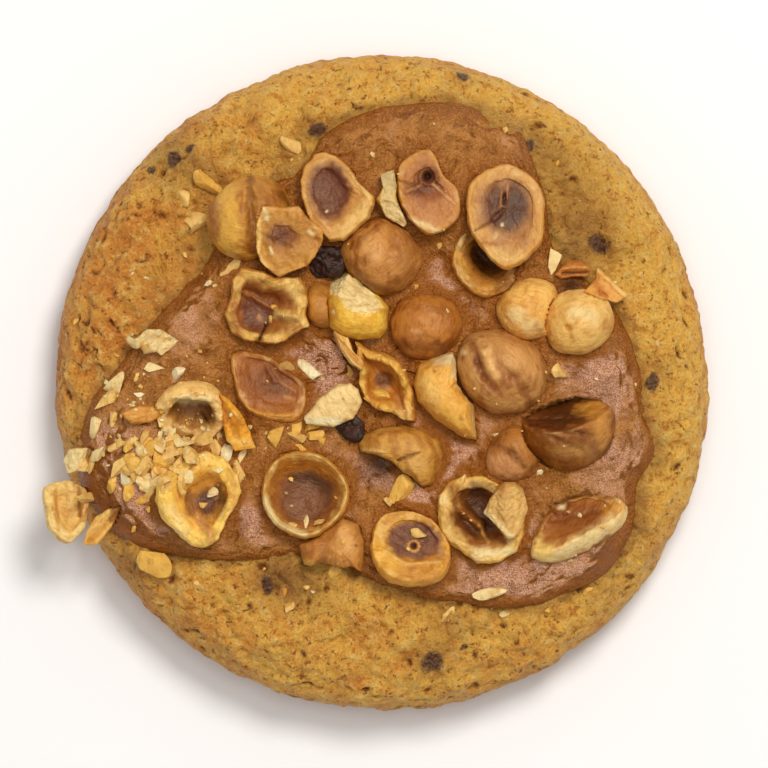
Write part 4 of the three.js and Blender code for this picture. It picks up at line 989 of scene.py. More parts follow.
HALVES = {
    "half_01": dict(
        at=(-7.1, 28.2), depth=6.4, lean=(11, 140),
        reaches=[
            (5.4, 0.3), (3.1, 2.4), (1.6, 4.8), (-0.5, 6.6), (-2, 7), (-3.6, 6.7), (-5.2, 5), (-5.8, 2.7),
            (-5.3, -1), (-4.2, -3.6), (-2.4, -5.4), (-1.2, -6.6), (0.9, -6.6), (2.5, -5.3), (4.7, -3.2),
            (5.6, -1.1),
        ],
        rim=2.2, hollow=1.2, hearts=[(-1.2, 1, 7.4, 9.8)], soft=0.35,
        dark=PURPLE, wall=CARAMEL, edge=TAN, skin=HONEY,
        strokes=[
            (2.6, 3, 4.9, 0, 0.6, -0.2, STRAW, 0.6), (1.5, 3.8, 4.4, -0.4, 0.3, 0.2, CARAMEL, 0.5),
            (4.6, -1.6, 0.8, -5.6, 1.1, -0.1, STRAW, 0.6), (-1.6, -2.2, -1.5, -2.1, 0.2, -0.1, CHALK, 0.9),
        ],
    ),
    "half_02": dict(
        at=(-15.1, 21.5), depth=3.8, lean=(7, 230),
        reaches=[
            (6, 0.2), (5.9, 1.6), (3.4, 3.5), (2.2, 5.2), (-0.6, 5), (-3.4, 5.4), (-4.4, 2.4), (-4.5, -1),
            (-3.7, -3.2), (-2, -4.8), (-0.8, -5.6), (1.4, -4.6), (3.3, -4), (4.7, -2.5),
        ],
        rim=3.0, hollow=0.7, ragged=0.35, hearts=[(-0.5, 0.9, 5.4, 4)], soft=1.0,
        dark=PURPLE, wall=colour(178, 114, 52), edge=colour(196, 138, 62), skin=HONEY,
        strokes=[
            (-2.4, 0.6, 0.9, -0.9, 0.35, 0.15, UMBER, 0.5), (-3.4, 4.6, -2.6, 3.4, 0.6, -0.1, CREAM, 0.8),
            (-4.0, 3.4, -3.9, -2, 0.35, -0.3, STRAW, 0.8), (-3.9, -2, -2.4, -4.8, 0.35, -0.3, STRAW, 0.7),
            (-2.2, -1.1, -1.9, -1.9, 0.25, -0.35, CREAM, 0.9), (3.4, 3.2, 5, -0.4, 1.0, 0.15, BRONZE, 0.5),
            (3.8, 1.4, 4.2, 1.0, 0.3, -0.3, CREAM, 0.8), (4.7, 2.0, 5.0, 1.8, 0.25, -0.3, STRAW, 0.8),
        ],
    ),
    "half_03": dict(
        at=(7, 29.2), reaches=(4.45, 3.25, 6.4, 6.05, 4.75, 4.95, 6.7, 6.1), depth=5.6, lean=(8, 75),
        rim=2.6, hollow=0.8, hearts=[(-0.2, 1.9, 4.8, 4.4), (-1.2, 0.4, 5.4, 3.2)], soft=0.9,
        dark=colour(108, 58, 42), wall=colour(160, 92, 48), edge=colour(184, 118, 60), skin=HONEY,
        strokes=[
            *ring(-0.15, 2.1, 1.25, 0.3, -0.35, MAUVE, 0.7), (-0.15, 2.15, -0.1, 2.05, 0.6, 1.3, RECESS_SHADE, 1.0),
            (-4.7, 1.5, -1.5, 0.6, 0.2, 0.35, UMBER, 0.7), (-3.6, -0.3, -1.3, 0.8, 0.25, -0.3, DUSKY, 0.7),
            (0.6, 0.9, 4.0, -2.2, 0.25, -0.3, colour(222, 166, 122), 0.6),
            (-1.5, 3.8, -3.2, 1.0, 0.7, 0, BRONZE, 0.5),
            (-1.8, -4.2, 2.6, -3.8, 1.8, 0, colour(196, 130, 76), 0.7),
            (-3.2, -4.4, 1.4, -6.2, 0.5, -0.2, CREAM, 0.7), (0, 4.2, -1, 5.6, 0.8, 0, BRONZE, 0.4),
        ],
    ),
    "half_04": dict(
        at=(18.6, 25.4), reaches=(5.95, 7, 8, 7.5, 5.9, 5.95, 8.15, 6.9), depth=6.2, lean=(9, 95),
        rim=2.2, hollow=1.0, hearts=[(1.0, 1.4, 5.6, 8.4), (-1.4, 1.2, 4.4, 7.6)], soft=0.5,
        dark=colour(84, 44, 34), wall=colour(178, 122, 74), edge=colour(208, 152, 84), skin=HONEY,
        strokes=[
            (0.1, 4.4, -0.5, 1.0, 0.6, -0.15, MAUVE, 0.8), (-0.1, 3.2, -0.3, 1.8, 0.24, 0.9, RECESS_SHADE, 1.0),
            (0.35, 4.6, 0.2, 2.6, 0.16, -0.15, DUSKY, 0.6), (-0.6, 3.2, -0.75, 1.2, 0.16, -0.15, DUSKY, 0.5),
            (-0.4, 0.8, -1.9, -0.8, 0.35, 0.45, PLUM, 0.8), (-1.9, -0.8, -4.7, -2.4, 0.2, 0.35, UMBER, 0.7),
            (2.0, 2.6, 0.5, -1.6, 1.0, 0, SLATE, 0.7), (-2.8, 2.4, -2.8, 0, 0.9, 0, MAUVE, 0.5),
            (-0.55, -1.4, -0.5, -1.5, 0.22, -0.1, CHALK, 0.9),
            (-1.6, -2.8, -1.4, -3.3, 0.2, -0.1, CREAM, 0.8), (-3.6, -4.3, 3.0, -4.4, 0.22, 0.15, BRONZE, 0.5),
            (3.8, 3.6, 4.6, -2, 0.3, 0.1, CARAMEL, 0.4), (-3, -6, 2.6, -6.4, 1.2, 0, STRAW, 0.4),
        ],
    ),
    "half_05": dict(
        at=(15.3, 18.5), reaches=(5.4, 5, 5, 5.05, 4.75, 4.7, 5.5, 5.9), depth=5.6, lean=(6, 40),
        rim=1.7, hollow=4, ragged=0.3, hearts=[(1.2, 1.4, 7.6, 7.6)], soft=0.5,
        dark=colour(74, 38, 14), wall=CARAMEL, edge=colour(184, 128, 54), skin=HONEY,
        strokes=[
            (-0.6, -4.3, 4.4, -3.5, 0.7, -0.1, HONEY, 0.6), (-3.3, 3.8, -3.9, 2.2, 0.5, -0.2, CREAM, 0.7),
            (-4.1, 1.4, -2.4, -2.6, 0.5, 0, GOLD, 0.5),
        ],
    ),
    "half_06": dict(
        at=(-17.6, 10.9), depth=6.4, lean=(6, 250),
        reaches=[
            (6, 1.1), (5.7, 3.9), (4.7, 5), (0.9, 5), (-0.9, 5.9), (-4, 6.4), (-5.4, 4.6), (-5.6, 2.2),
            (-6.6, -0.6), (-5.8, -3.4), (-4, -4.6), (0.9, -5.2), (2.6, -4.8), (5.1, -2.9), (6.3, -2.5),
            (5.8, -1),
        ],
        rim=1.9, hollow=3.2, ragged=0.5, hearts=[(-1.9, -0.5, 6, 6)], soft=0.3,
        dark=PURPLE, wall=BRONZE, edge=colour(224, 178, 94), skin=HONEY,
        strokes=[
            (-3.4, 3.5, 3.2, 1.4, 1.0, 0.2, RUST, 0.9), (-3.9, 2.9, 0.8, 0.2, 0.35, -0.7, BRONZE, 0.7),
            (-0.3, -2.2, -1.5, -4.8, 0.2, 0.6, RECESS_SHADE, 0.95), (1.5, -0.6, 4.1, -0.9, 0.8, -1.7, STRAW, 1.0),
            (4.1, -0.9, 6.1, -2.5, 0.7, -0.9, STRAW, 1.0), (3.4, 4.6, 5.2, 1.2, 1.1, -0.1, STRAW, 0.8),
            (-5.2, 1, -4.6, -3.4, 0.9, 0, colour(162, 94, 34), 0.8),
            (1.6, -2.4, 4.4, -2.6, 0.8, 0, BRONZE, 0.7), (-1.3, -1.2, -1.5, -1.0, 0.4, -0.1, DUSKY, 0.6),
        ],
    ),
    "half_07": dict(
        at=(-17.7, -0.6), reaches=(5.9, 3.8, 4.7, 7.3, 4.9, 4.7, 5.05, 6.9), depth=4.8, lean=(10, 60),
        rim=1.2, hollow=0.9, hearts=[(0.4, 0.8, 9, 6)], soft=0.9,
        dark=colour(128, 66, 28), wall=colour(160, 92, 40), edge=colour(178, 110, 46), skin=HONEY,
        strokes=[
            (-3.4, -3.2, -0.5, -4.4, 0.4, -0.25, HONEY, 0.8), (-0.5, -4.4, 4.6, -4.6, 0.4, -0.25, HONEY, 0.8),
            (-5.9, 3.6, -5.2, 0.6, 0.4, -0.2, HONEY, 0.7), (0.6, 0.2, 2.6, -0.4, 1.0, 0, UMBER, 0.5),
            # The DUSKY strokes here and below are painted sheen: streaks of highlight along the fibres.
            (0, 2.9, 1.2, 0.7, 0.4, -0.4, MAUVE, 0.8), (2.6, -1.6, 4.0, -2.0, 0.25, -0.1, DUSKY, 0.6),
            (2.2, 0.4, 4.2, -0.8, 0.25, -0.1, DUSKY, 0.4),
        ],
    ),
    "half_08": dict(
        at=(-11.9, -17.1), reaches=(6.7, 6.4, 6.6, 7.1, 6.7, 6.5, 6.7, 6.3), depth=6.8, lean=(4, 110),
        rim=0.9, hollow=3.8, hearts=[(0, -0.2, 10, 9.6)], soft=0.35,
        dark=colour(120, 70, 40), wall=colour(180, 112, 40), edge=colour(238, 196, 114), skin=HONEY,
        strokes=[
            # The first three strokes paint the shadow that the rim casts on the inner wall, on the side
            # towards the light.
            (-1.8, 2.4, 1.0, 2.6, 0.9, 0, colour(78, 44, 24), 0.8),
            (1.0, 2.6, 3.4, 0.8, 1.0, 0, colour(78, 44, 24), 0.8), (3.4, 0.8, 3.4, -1.4, 0.7, 0, UMBER, 0.6),
            (-3.8, 4.0, 0, 4.8, 0.9, 0, colour(182, 112, 32), 0.7),
            (0, 4.8, 4.2, 3.2, 0.9, 0, colour(182, 112, 32), 0.7),
            (-6.2, -0.6, -4.7, -4.3, 0.5, -0.1, CREAM, 0.9), (-4.7, -4.3, 0, -6.1, 0.5, -0.1, CREAM, 0.9),
            (-2.1, -1.7, -2.1, -1.8, 0.15, -0.1, CREAM, 0.9), (-3.0, 0.1, -3.0, 0.2, 0.12, -0.1, CREAM, 0.9),
        ],
    ),
    "half_09": dict(
        at=(-27.6, -18.2), depth=7, lean=(12, 15),
        reaches=[
            (6.3, 1.7), (5.6, 4.2), (3.5, 6.8), (0.7, 7.7), (-2.1, 6.6), (-4.9, 4.9), (-6.7, 2.8), (-7, 0.3),
            (-6, -2.5), (-3.5, -4.9), (-1.4, -6.7), (0.7, -7), (2.6, -5.8), (3.7, -3.2), (5.6, -0.4),
        ],
        rim=2.5, hollow=4.2, ragged=0.3, hearts=[(1.4, 0, 5.6, 6.4)], soft=0.7,
        dark=PLUM, wall=colour(246, 180, 78), edge=colour(248, 204, 98), skin=colour(250, 208, 102),
        strokes=[
            (-1.0, 6.2, -2.9, 3.0, 0.3, 0.5, CARAMEL, 0.8), (4.4, 4.2, 4.9, -1, 0.8, 0, CARAMEL, 0.5),
            (2.4, 2.0, 2.8, 0.2, 0.9, 0, colour(58, 30, 20), 0.8),
            (-1.9, 0.8, -1.8, -1.6, 0.9, 0, MAUVE, 0.8),
            (-0.6, -2.4, 1.3, -5.2, 0.8, -1.6, colour(222, 164, 98), 1.0),
            (-4.8, -1, -2.8, -4.8, 0.9, -0.1, CREAM, 0.5),
        ],
    ),
    "half_10": dict(
        at=(-29, -5.2), reaches=(5, 5.2, 4.8, 5.4, 6, 6, 5.8, 5.4), depth=5.2, lean=(46, 262),
        rim=1.9, hollow=4.2, ragged=0.4, hearts=[(-0.2, -0.4, 7.6, 7)], soft=0.5,
        dark=UMBER, wall=colour(214, 150, 70), edge=colour(252, 212, 140), skin=colour(252, 206, 128),
        strokes=[
            # The first stroke is a painted highlight along the top of the dome.
            (-2, 2.6, 2.2, 2.7, 0.9, -0.1, CREAM, 0.8), (1.2, 0.6, 2.2, -0.8, 0.2, 0.5, RECESS_SHADE, 0.8),
            (-1.4, 0.8, 1.0, 1.0, 0.8, 0, DUSKY, 0.4),
        ],
    ),
    "half_11": dict(
        at=(-0.3, -0.6), depth=5.4, lean=(14, 215),
        reaches=[
            (4.6, -1), (3.6, 2), (1.9, 4), (-0.2, 5), (-3, 5.6), (-4.4, 7.2), (-3.9, 4.8), (-3.4, 2.6),
            (-3.7, 0.4), (-3, -2), (-1, -3.8), (1.4, -4.2), (2.6, -5), (4.9, -5.4),
        ],
        rim=1.3, hollow=3.2, ragged=0.6, hearts=[(-0.2, 0.6, 3.4, 3)], soft=0.5,
        dark=colour(112, 60, 20), wall=colour(192, 120, 42), edge=GOLD, skin=HONEY,
        strokes=[
            (0.9, 3.9, 4.2, -0.4, 0.5, -0.2, GOLD, 0.7), (-1, -3.2, 0.4, -4.8, 0.7, -0.4, CARAMEL, 0.7),
            (2.6, -2.0, 3.6, -4.6, 0.7, 0, DUSKY, 0.6),
        ],
    ),
    "half_12": dict(
        at=(4.5, -24.8), reaches=(5.8, 5.2, 5.6, 6.6, 6.4, 6.4, 6.0, 6.6), depth=7, lean=(21, 80),
        rim=1.9, hollow=1.1, ragged=0.3, hearts=[(0.2, 1.0, 8.8, 6.8)], soft=0.25,
        dark=PURPLE, wall=colour(206, 138, 48), edge=colour(224, 164, 66), skin=colour(226, 164, 62),
        strokes=[
            (-4.6, -1.4, -2.4, -4.2, 1.3, -0.2, colour(242, 188, 84), 0.7),
            (-2, -4.4, 3, -4.6, 1.2, 0, CARAMEL, 0.6), (-5, 1.6, -4, 4, 0.8, -0.1, STRAW, 0.6),
            (2, -3.2, 5, -2.4, 1, 0, colour(196, 124, 40), 0.6), *ring(0.1, -0.2, 0.8, 0.22, -0.2, TAN, 0.8),
            (0.1, -0.15, 0.15, -0.2, 0.35, 0.7, RECESS_SHADE, 0.9), (-4.3, -0.9, -1, -2.9, 0.2, -0.3, STRAW, 0.8),
            (-1, -2.9, 4.2, -2.6, 0.2, -0.3, STRAW, 0.7), (2.6, -0.8, 4.0, -1.2, 0.9, 0, MAUVE, 0.6),
            (-4.2, 3.6, -2, 5, 0.7, 0, CARAMEL, 0.5),
        ],
    ),
    "half_13": dict(
        at=(14.6, -21.1), depth=6.6, lean=(8, 70),
        reaches=[
            (7.1, 1.3), (5.8, 4.2), (3, 5.8), (0.5, 6.9), (-2.6, 6.9), (-4.6, 5.8), (-6.1, 3.8), (-6.3, 0.6),
            (-5.8, -2.2), (-3, -4.5), (-0.2, -6.5), (3.3, -6.2), (5.6, -4.7), (6.8, -2.3),
        ],
        rim=2.0, hollow=4.2, ragged=0.5, hearts=[(0.2, 1.4, 8, 9)], soft=0.5,
        dark=colour(88, 46, 22), wall=BRONZE, edge=colour(230, 186, 110), skin=GOLD,
        strokes=[
            (-4.0, 5.2, -2.5, 1.4, 0.7, -1.6, colour(178, 118, 56), 0.9),
            (-2.5, 1.4, 0, -0.8, 0.6, -1.4, BRONZE, 0.9),
            (0, -0.8, 1.3, -3.2, 0.5, -1.0, colour(186, 128, 66), 0.9),
            (-0.6, -5.1, 4.8, -4.7, 0.8, -0.1, CREAM, 0.9), (-5.7, 3.3, -5.4, 2.9, 0.6, -0.1, CREAM, 0.8),
            (-0.4, 4.6, 0.8, 2.2, 1.1, 0, colour(80, 40, 24), 0.8), (2.4, -2.0, 3.9, -3.4, 0.6, 0, RUST, 0.8),
        ],
    ),
    "half_14": dict(
        at=(29.4, -21.4), depth=5.4, lean=(42, 116),
        reaches=[
            (7.6, 3), (4.9, 5), (1, 6), (-3, 5), (-5.8, 2), (-7.4, -2), (-7.2, -4.8), (-5, -5.4),
            (-2.4, -4.8), (1.6, -3.2), (5.2, -0.8), (7.4, 1.4),
        ],
        rim=1.4, hollow=0.7, ragged=0.3, hearts=[(-0.4, 1.4, 11, 6)], soft=0.6,
        dark=colour(150, 86, 36), wall=colour(170, 104, 46), edge=colour(220, 168, 96),
        skin=colour(240, 206, 138),
        strokes=[
            (-2.4, 2.6, -2.1, 2.5, 0.6, -0.4, CHALK, 0.9),
            *ring(-2.3, 2.6, 1.3, 0.3, -0.2, colour(124, 62, 34), 0.7),
            (-6.4, -3.4, -4.6, -5, 1.4, -0.3, colour(240, 204, 120), 0.9),
            (4.6, 1.6, 6.8, 2.6, 0.9, 0, HONEY, 0.7),
            (-3.8, 0.2, 3.6, 1.6, 0.4, 0.25, colour(124, 66, 26), 0.6),
            (-2.4, -4.8, 5.6, 0.4, 0.9, 0, CREAM, 0.7),
        ],
    ),
    "half_15": dict(
        at=(27.6, -5), reaches=(7.6, 6.6, 6.4, 6.2, 7.2, 6.2, 6.4, 6.6), depth=8.8, lean=(66, 103),
        rim=1.2, hollow=0.5, hearts=[(0, 0, 11, 11)], soft=0.7,
        dark=UMBER, wall=RUST, edge=BRONZE, skin=colour(136, 78, 24),
        strokes=[
            # The first two strokes paint shade along the top edge, where the nut meets the praline.
            (-6, 1.2, 0, 2.2, 0.5, 0.4, RECESS_SHADE, 0.8), (0, 2.2, 6.4, 3.6, 0.4, 0.4, RECESS_SHADE, 0.7),
            (-5.6, -0.8, 4.6, -0.6, 0.3, 0.5, UMBER, 0.7), (-5.2, -1.4, 4.2, -3.2, 0.35, 0.5, UMBER, 0.6),
            (-4.6, -2.2, 2.6, -5.4, 0.35, 0.4, UMBER, 0.5),
            (4.8, 1.4, 5.8, -3.2, 1.7, -0.2, colour(206, 142, 60), 0.85),
            (2.4, 1.0, 5.0, 1.4, 1.0, -0.2, HONEY, 0.7),
            (-1, -5.4, 3.4, -5.8, 1.1, 0, colour(186, 134, 72), 0.6),
            (0.5, -1.6, 4.4, -2.0, 0.3, -0.3, BRONZE, 0.6),
        ],
    ),
    "half_16": dict(
        at=(-48.1, -19.7), reaches=(3.2, 4.4, 4.8, 5, 3.4, 4, 4.9, 3.6), depth=4.4, lean=(20, 25),
        rim=1.3, hollow=1.2, ragged=0.3, hearts=[(0.4, 0, 2.6, 4)], soft=0.9,
        dark=colour(206, 156, 82), wall=colour(230, 186, 108), edge=colour(240, 208, 136),
        skin=colour(236, 202, 124),
        strokes=[
            (0.2, 4.4, 0.6, 0.8, 0.9, -0.8, colour(240, 202, 128), 0.9),
            (2.6, 3.6, 2.3, -1.2, 0.45, -0.9, TAN, 0.9), (1.5, 3.6, 1.6, -0.8, 0.25, 0.5, RUST, 0.8),
            (-2, 3, -1.6, -3, 0.3, 0.15, CARAMEL, 0.5),
        ],
    ),
}


def half_form(spec, seed):
    """Half a nut. In the profile, heights below 0 are shares of the dome's depth, and those above 0 are
    shares of the hollow's."""
    depth, hollow, heart = spec["depth"], spec["hollow"], spec["hearts"][0]
    inner = 1 - spec["rim"] / outline(spec["reaches"], np.arange(-3, 3, 0.2)).mean()
    nut = spun_smoothly([
        (0, -1), (0.4, -0.95), (0.72, -0.8), (0.93, -0.5), (1, -0.25), (0.99, -0.1), (0.95, -0.025),
        ((1 + inner) / 2, 0), (inner, 0.14), (inner * 0.74, 0.7), (inner * 0.4, 0.93), (0, 1),
    ])
    x, y, z = nut.co.T.copy()
    share, angle = np.hypot(x, y), np.arctan2(y, x)
    in_hollow, face = ease(z, 0, 0.5), ease(z, -0.04, 0)
    nut.inside = ease(z, 0, 0.1)
    height = np.where(z < 0, depth * z, -hollow * z)
    near_rim = ease(height, -0.5 * depth, 0) * ease(share, inner * 0.5, 1)
    uneven = 1 + 0.012 * rough(flat(5 * np.cos(angle), 5 * np.sin(angle)), 1, 3, seed)
    reach = share * outline(spec["reaches"], angle) * uneven
    nut.co[:, 0] = reach * np.cos(angle) + 0.8 * in_hollow * heart[0]
    nut.co[:, 1] = reach * np.sin(angle) + 0.8 * in_hollow * heart[1]
    jags = rough(nut.co, 1.6, 3, seed) - 0.3
    ripple = rough(nut.co, 2.2, 2, seed)
    nut.co[:, 2] = height + spec.get("ragged", 0) * near_rim * jags
    nut.co[:, 2] += 0.12 * face * ripple
    mark(nut, seed)
    x, y, z = nut.co.T
    grain = rough(nut.co, 1.1, 3, seed)
    nut.dye(np.ones(len(x)), spec["skin"])
    nut.dye(0.35 * ease(grain, 0.1, 0.8), CARAMEL)
    nut.dye(face, spec["edge"])
    nut.dye(0.4 * face * ease(share + 0.1 * grain, 0.88, 1.0), CREAM)
    nut.dye(face * ease(inner + 0.16 - share - 0.07 * grain, 0, 0.28), spec["wall"])
    far = [2 * np.hypot((x - hx) / width, (y - hy) / length) for hx, hy, width, length in spec["hearts"]]
    far = np.min(far, axis=0)
    nut.dye(face * (1 - ease(far + 0.07 * grain, 1 - spec["soft"], 1 + 0.4 * spec["soft"])), spec["dark"])
    return nut


def make_halves():
    for index, (node, spec) in enumerate(sorted(HALVES.items(), key=lambda half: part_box(half[0])[1].z)):
        nut = half_form(spec, nut_seed(index))
        settle(nut, spec["at"], spec["lean"], node)
        nut.strokes(spec["at"], spec["strokes"])
        nut.swell(0.06 * rough(nut.co, 1.0, 3))
        smear(nut)
        if spec["lean"][0] < STEEP_LEAN:
            squeeze_up(spec["at"], spec["reaches"])
        press_down(nut)
        nut.piece(f"hazelnut_{node}", HAZELNUT, "hazelnut", node)


make_halves()

# The broken nuts
# Pieces of hazelnut that broke as they were chopped. Where they broke they are pale and chalky, and
# elsewhere golden. breaks are the flat breaks: direction, steepness and distance from the middle. curl
# bends a thin flake up at its ends.
LUMP_SIDES = 112

LUMPS = {
    "lump_01": dict(
        at=(-3.9, 11.4), height=10, fullness=0.9,
        reaches=[
            (4.7, 0), (3, 1.9), (1.2, 3.4), (-1.6, 5.3), (-3, 6.2), (-4.2, 3.6), (-4.7, 0.6), (-4.2, -3),
            (-2.6, -4.3), (0, -4.8), (3.3, -4.7), (4.5, -3.4),
        ],
        breaks=[(72, 50, 3.3), (128, 24, 4.6)], skin=colour(250, 204, 84), patch=colour(236, 178, 62),
        pale=CREAM,
        strokes=[(3.4, -0.4, 4.6, -1, 0.6, 0, HONEY, 0.7), (-3.4, 1, -3.8, -1.6, 0.7, 0, HONEY, 0.6)],
    ),
    "lump_02": dict(
        at=(18.5, -19.6), height=5.2, fullness=0.6,
        reaches=[
            (3.6, 0.3), (2.7, 3.3), (1.5, 4.3), (0, 4.3), (-1.2, 3.6), (-3.3, -0.3), (-1.5, -2.1),
            (0.3, -4.3), (1.5, -4.2), (2.7, -2.4),
        ],
        breaks=[(190, 55, 1.9), (350, 62, 2.1)],
        skin=colour(206, 156, 84), patch=colour(176, 120, 54), pale=colour(222, 178, 108),
        strokes=[(-2.8, -0.4, 0.8, -4, 0.6, -0.1, CREAM, 0.9), (1.4, 3.4, 1.8, -2, 0.35, -0.2, STRAW, 0.5)],
    ),
    "lump_03": dict(
        at=(1, 27.8), height=5.6, fullness=0.6,
        reaches=[
            (0.9, 0.4), (1, 2.4), (0.6, 4.7), (-1.5, 3.9), (-1, 1.8), (-2.1, 0), (-0.6, -2.7), (2.2, -4.3),
            (2.7, -3.6), (1.8, -2),
        ],
        breaks=[(90, 62, 2), (250, 66, 2.2)],
        skin=colour(236, 190, 96), patch=colour(214, 160, 70), pale=colour(222, 196, 140),
        strokes=[
            (1, -1.4, 2.6, -3.8, 0.7, -0.1, CREAM, 0.8), (-0.8, 4, 0, 2.4, 1, 0, colour(190, 168, 124), 0.8),
        ],
    ),
    "lump_04": dict(
        at=(-34.2, 6.2), height=3.8, fullness=0.6,
        reaches=[
            (3.2, 0), (1.3, 1.2), (0.2, 1.8), (-1.8, 1.9), (-3.7, 0.4), (-2.3, -2), (-0.4, -1.6), (0.4, -2.2),
            (1.6, -1.2),
        ],
        breaks=[(344, 60, 1.1), (124, 40, 1.6)],
        skin=colour(226, 190, 130), patch=colour(206, 164, 96), pale=CREAM,
        strokes=[(-2.6, -0.4, -2.9, -2, 0.5, -0.1, GOLD, 0.8), (-2, 1, 1.6, 0.2, 0.3, 0.2, HONEY, 0.4)],
    ),
    "lump_05": dict(
        at=(-46.4, -12), height=3.6, fullness=0.6,
        reaches=[(2.2, 0), (2.3, 2), (0, 1.9), (-1.6, 1.7), (-2.6, 0), (-2, -2), (0, -1.7), (1.6, -1.7)],
        breaks=[(0, 55, 1.1), (160, 50, 1.2)],
        skin=colour(232, 190, 112), patch=colour(216, 166, 84), pale=CREAM,
        strokes=[(0.6, -1, 1.4, 0.6, 0.6, 0, GOLD, 0.6)],
    ),
    "flake_01": dict(
        at=(-22.4, -5.9), height=1.9, fullness=0.5,
        reaches=[
            (1.6, -0.6), (0.2, 1.8), (-1.2, 3.4), (-3.1, 4.7), (-2.4, 3), (-2.1, 0), (-1.5, -3), (-0.3, -4.6),
            (3, -4.2),
        ],
        lean=(14, 300), curl=0.024, skin=colour(242, 170, 48), patch=colour(220, 140, 30),
        strokes=[
            (-2.9, 4.4, 1, -0.4, 0.3, -0.5, colour(240, 178, 80), 0.8),
            (-2.7, 3.2, 0.2, -2.6, 0.5, 0.5, RUST, 0.5), (-1.4, -3, 2.8, -3.8, 0.7, 0, GOLD, 0.8),
        ],
    ),
    "flake_02": dict(
        at=(-42.6, -21.6), height=1.9, fullness=0.5, lean=(16, 200),
        reaches=[
            (2.9, 2.8), (0.8, 2.4), (-1.3, 1), (-2.8, -1.1), (-3.3, -3.3), (-1.2, -3.3), (0.3, -1.7),
            (1.8, 0.4),
        ],
        curl=0.02, skin=colour(246, 194, 104), patch=colour(226, 166, 72),
        strokes=[(-2.4, -2.8, 2, 1.6, 0.5, 0.3, CARAMEL, 0.6), (-2.8, -1.4, 1, 2.2, 0.4, -0.3, STRAW, 0.7)],
    ),
    "flake_03": dict(
        at=(-7.6, -3.4), height=2.2, fullness=0.7,
        reaches=[
            (4.5, 0.4), (3.9, 2.4), (2.7, 3.3), (0.6, 3), (-1.8, 1.2), (-4.7, -2.1), (-4.2, -3), (0, -3.4),
            (3, -2.2),
        ],
        lean=(10, 250), curl=0.008, skin=colour(240, 208, 146), patch=colour(228, 190, 124),
        strokes=[(-4, -2.4, 1, -2.8, 0.6, 0, CHALK, 0.8), (1.4, 0.8, 1.5, 0.8, 0.15, 0.1, RUST, 0.8)],
    ),
    "flake_04": dict(
        at=(33.7, 14.7), height=1.7, fullness=0.5,
        reaches=[
            (2.4, -0.4), (1.2, 0.8), (-1.2, 2.8), (-1.5, 0.9), (-3.4, -1.2), (-1.2, -2), (1.8, -2.8),
            (3.8, -1.6),
        ],
        lean=(18, 40), curl=0.024, skin=colour(222, 160, 76), patch=colour(206, 140, 60),
        strokes=[
            (-1.4, 0.6, 0, -1.8, 0.8, 0.5, colour(178, 96, 26), 0.8),
            (-1.4, 2.6, 3.2, -1.6, 0.3, -0.3, STRAW, 0.7), (-2.8, -1.4, 1.6, -2.6, 0.3, -0.2, STRAW, 0.6),
        ],
    ),
    "flake_05": dict(
        at=(29, 17.2), height=2.2, fullness=0.6,
        reaches=[(2.8, 0.2), (1, 1.4), (-1, 1.3), (-2.9, -0.6), (-2, -1.4), (-0.2, -1), (2.2, -1)],
        lean=(20, 270), curl=0.04, skin=colour(190, 120, 50), patch=colour(160, 90, 34),
        strokes=[
            (-2, 0, 2.2, 0.3, 0.3, -0.3, colour(216, 150, 80), 0.8),
            (-1.6, -0.6, 2, -0.5, 0.25, 0.4, UMBER, 0.8),
        ],
    ),
    "flake_06": dict(
        at=(-36.7, -5), height=1.6, fullness=0.5,
        reaches=[(3.6, 0.3), (1.6, 1.3), (-1.2, 1.2), (-3.4, 0.1), (-1.8, -1.4), (1.2, -1.2)],
        lean=(8, 90), curl=0.012, skin=colour(212, 146, 62), patch=colour(190, 120, 46),
        strokes=[(-3, -0.8, 3, 0.8, 0.3, -0.2, colour(226, 168, 88), 0.6)],
    ),
    "flake_07": dict(
        at=(-5.6, 4.8), height=1.6, fullness=0.5,
        reaches=[(0.7, 0), (0.1, 1.9), (-2.2, 2.9), (-1, 0.4), (0.5, -1.9), (2.3, -3.3), (2.4, -1.9)],
        lean=(18, 40), curl=0.024, skin=colour(234, 190, 112), patch=colour(214, 158, 76),
        strokes=[(-2.4, 3, 2.6, -2.6, 0.3, 0.4, CARAMEL, 0.6), (-2.8, 1.8, 1.2, -2.6, 0.4, -0.3, CREAM, 0.7)],
    ),
}


def break_flat(lump, breaks, pale, seed):
    """Presses what lies beyond each flat break back onto it, and dyes it pale."""
    for direction, steepness, distance in breaks:
        turn, rise = math.radians(direction), math.radians(steepness)
        facing = np.array((math.cos(rise) * math.cos(turn), math.cos(rise) * math.sin(turn), math.sin(rise)))
        beyond = np.maximum(0, lump.co @ facing - distance - 0.16 * rough(lump.co, 0.9, 3, seed))
        lump.co -= beyond[:, None] * facing
        lump.dye(0.9 * ease(beyond, 0, 0.08), pale)


def make_lumps():
    for index, (node, spec) in enumerate(LUMPS.items()):
        seed = nut_seed(index)
        lump = pebble(spec["reaches"], spec["height"], seed, spec["fullness"], LUMP_SIDES)
        skin_nut(lump, spec, seed)
        if "breaks" in spec:
            break_flat(lump, spec["breaks"], spec["pale"], seed)
        lump.co[:, 2] += spec.get("curl", 0) * (lump.co[:, :2] ** 2).sum(axis=1)
        lump.crisp = True
        settle(lump, spec["at"], spec.get("lean", (0, 0)), node)
        lump.strokes(spec["at"], spec["strokes"])
        lump.swell(0.06 * rough(lump.co, 0.8, 3, seed))
        smear(lump, 0.5, 0.1)
        press_down(lump)
        lump.piece(f"chopped_{node}", HAZELNUT, "chopped_nut", node)


make_lumps()

# The chocolate
# Two chunks of dark chocolate that stand between the nuts. The chocolate in the dough itself has melted
# into spots in the crust.
CHUNK_SIDES = 96
CHUNK_FULLNESS = 0.8

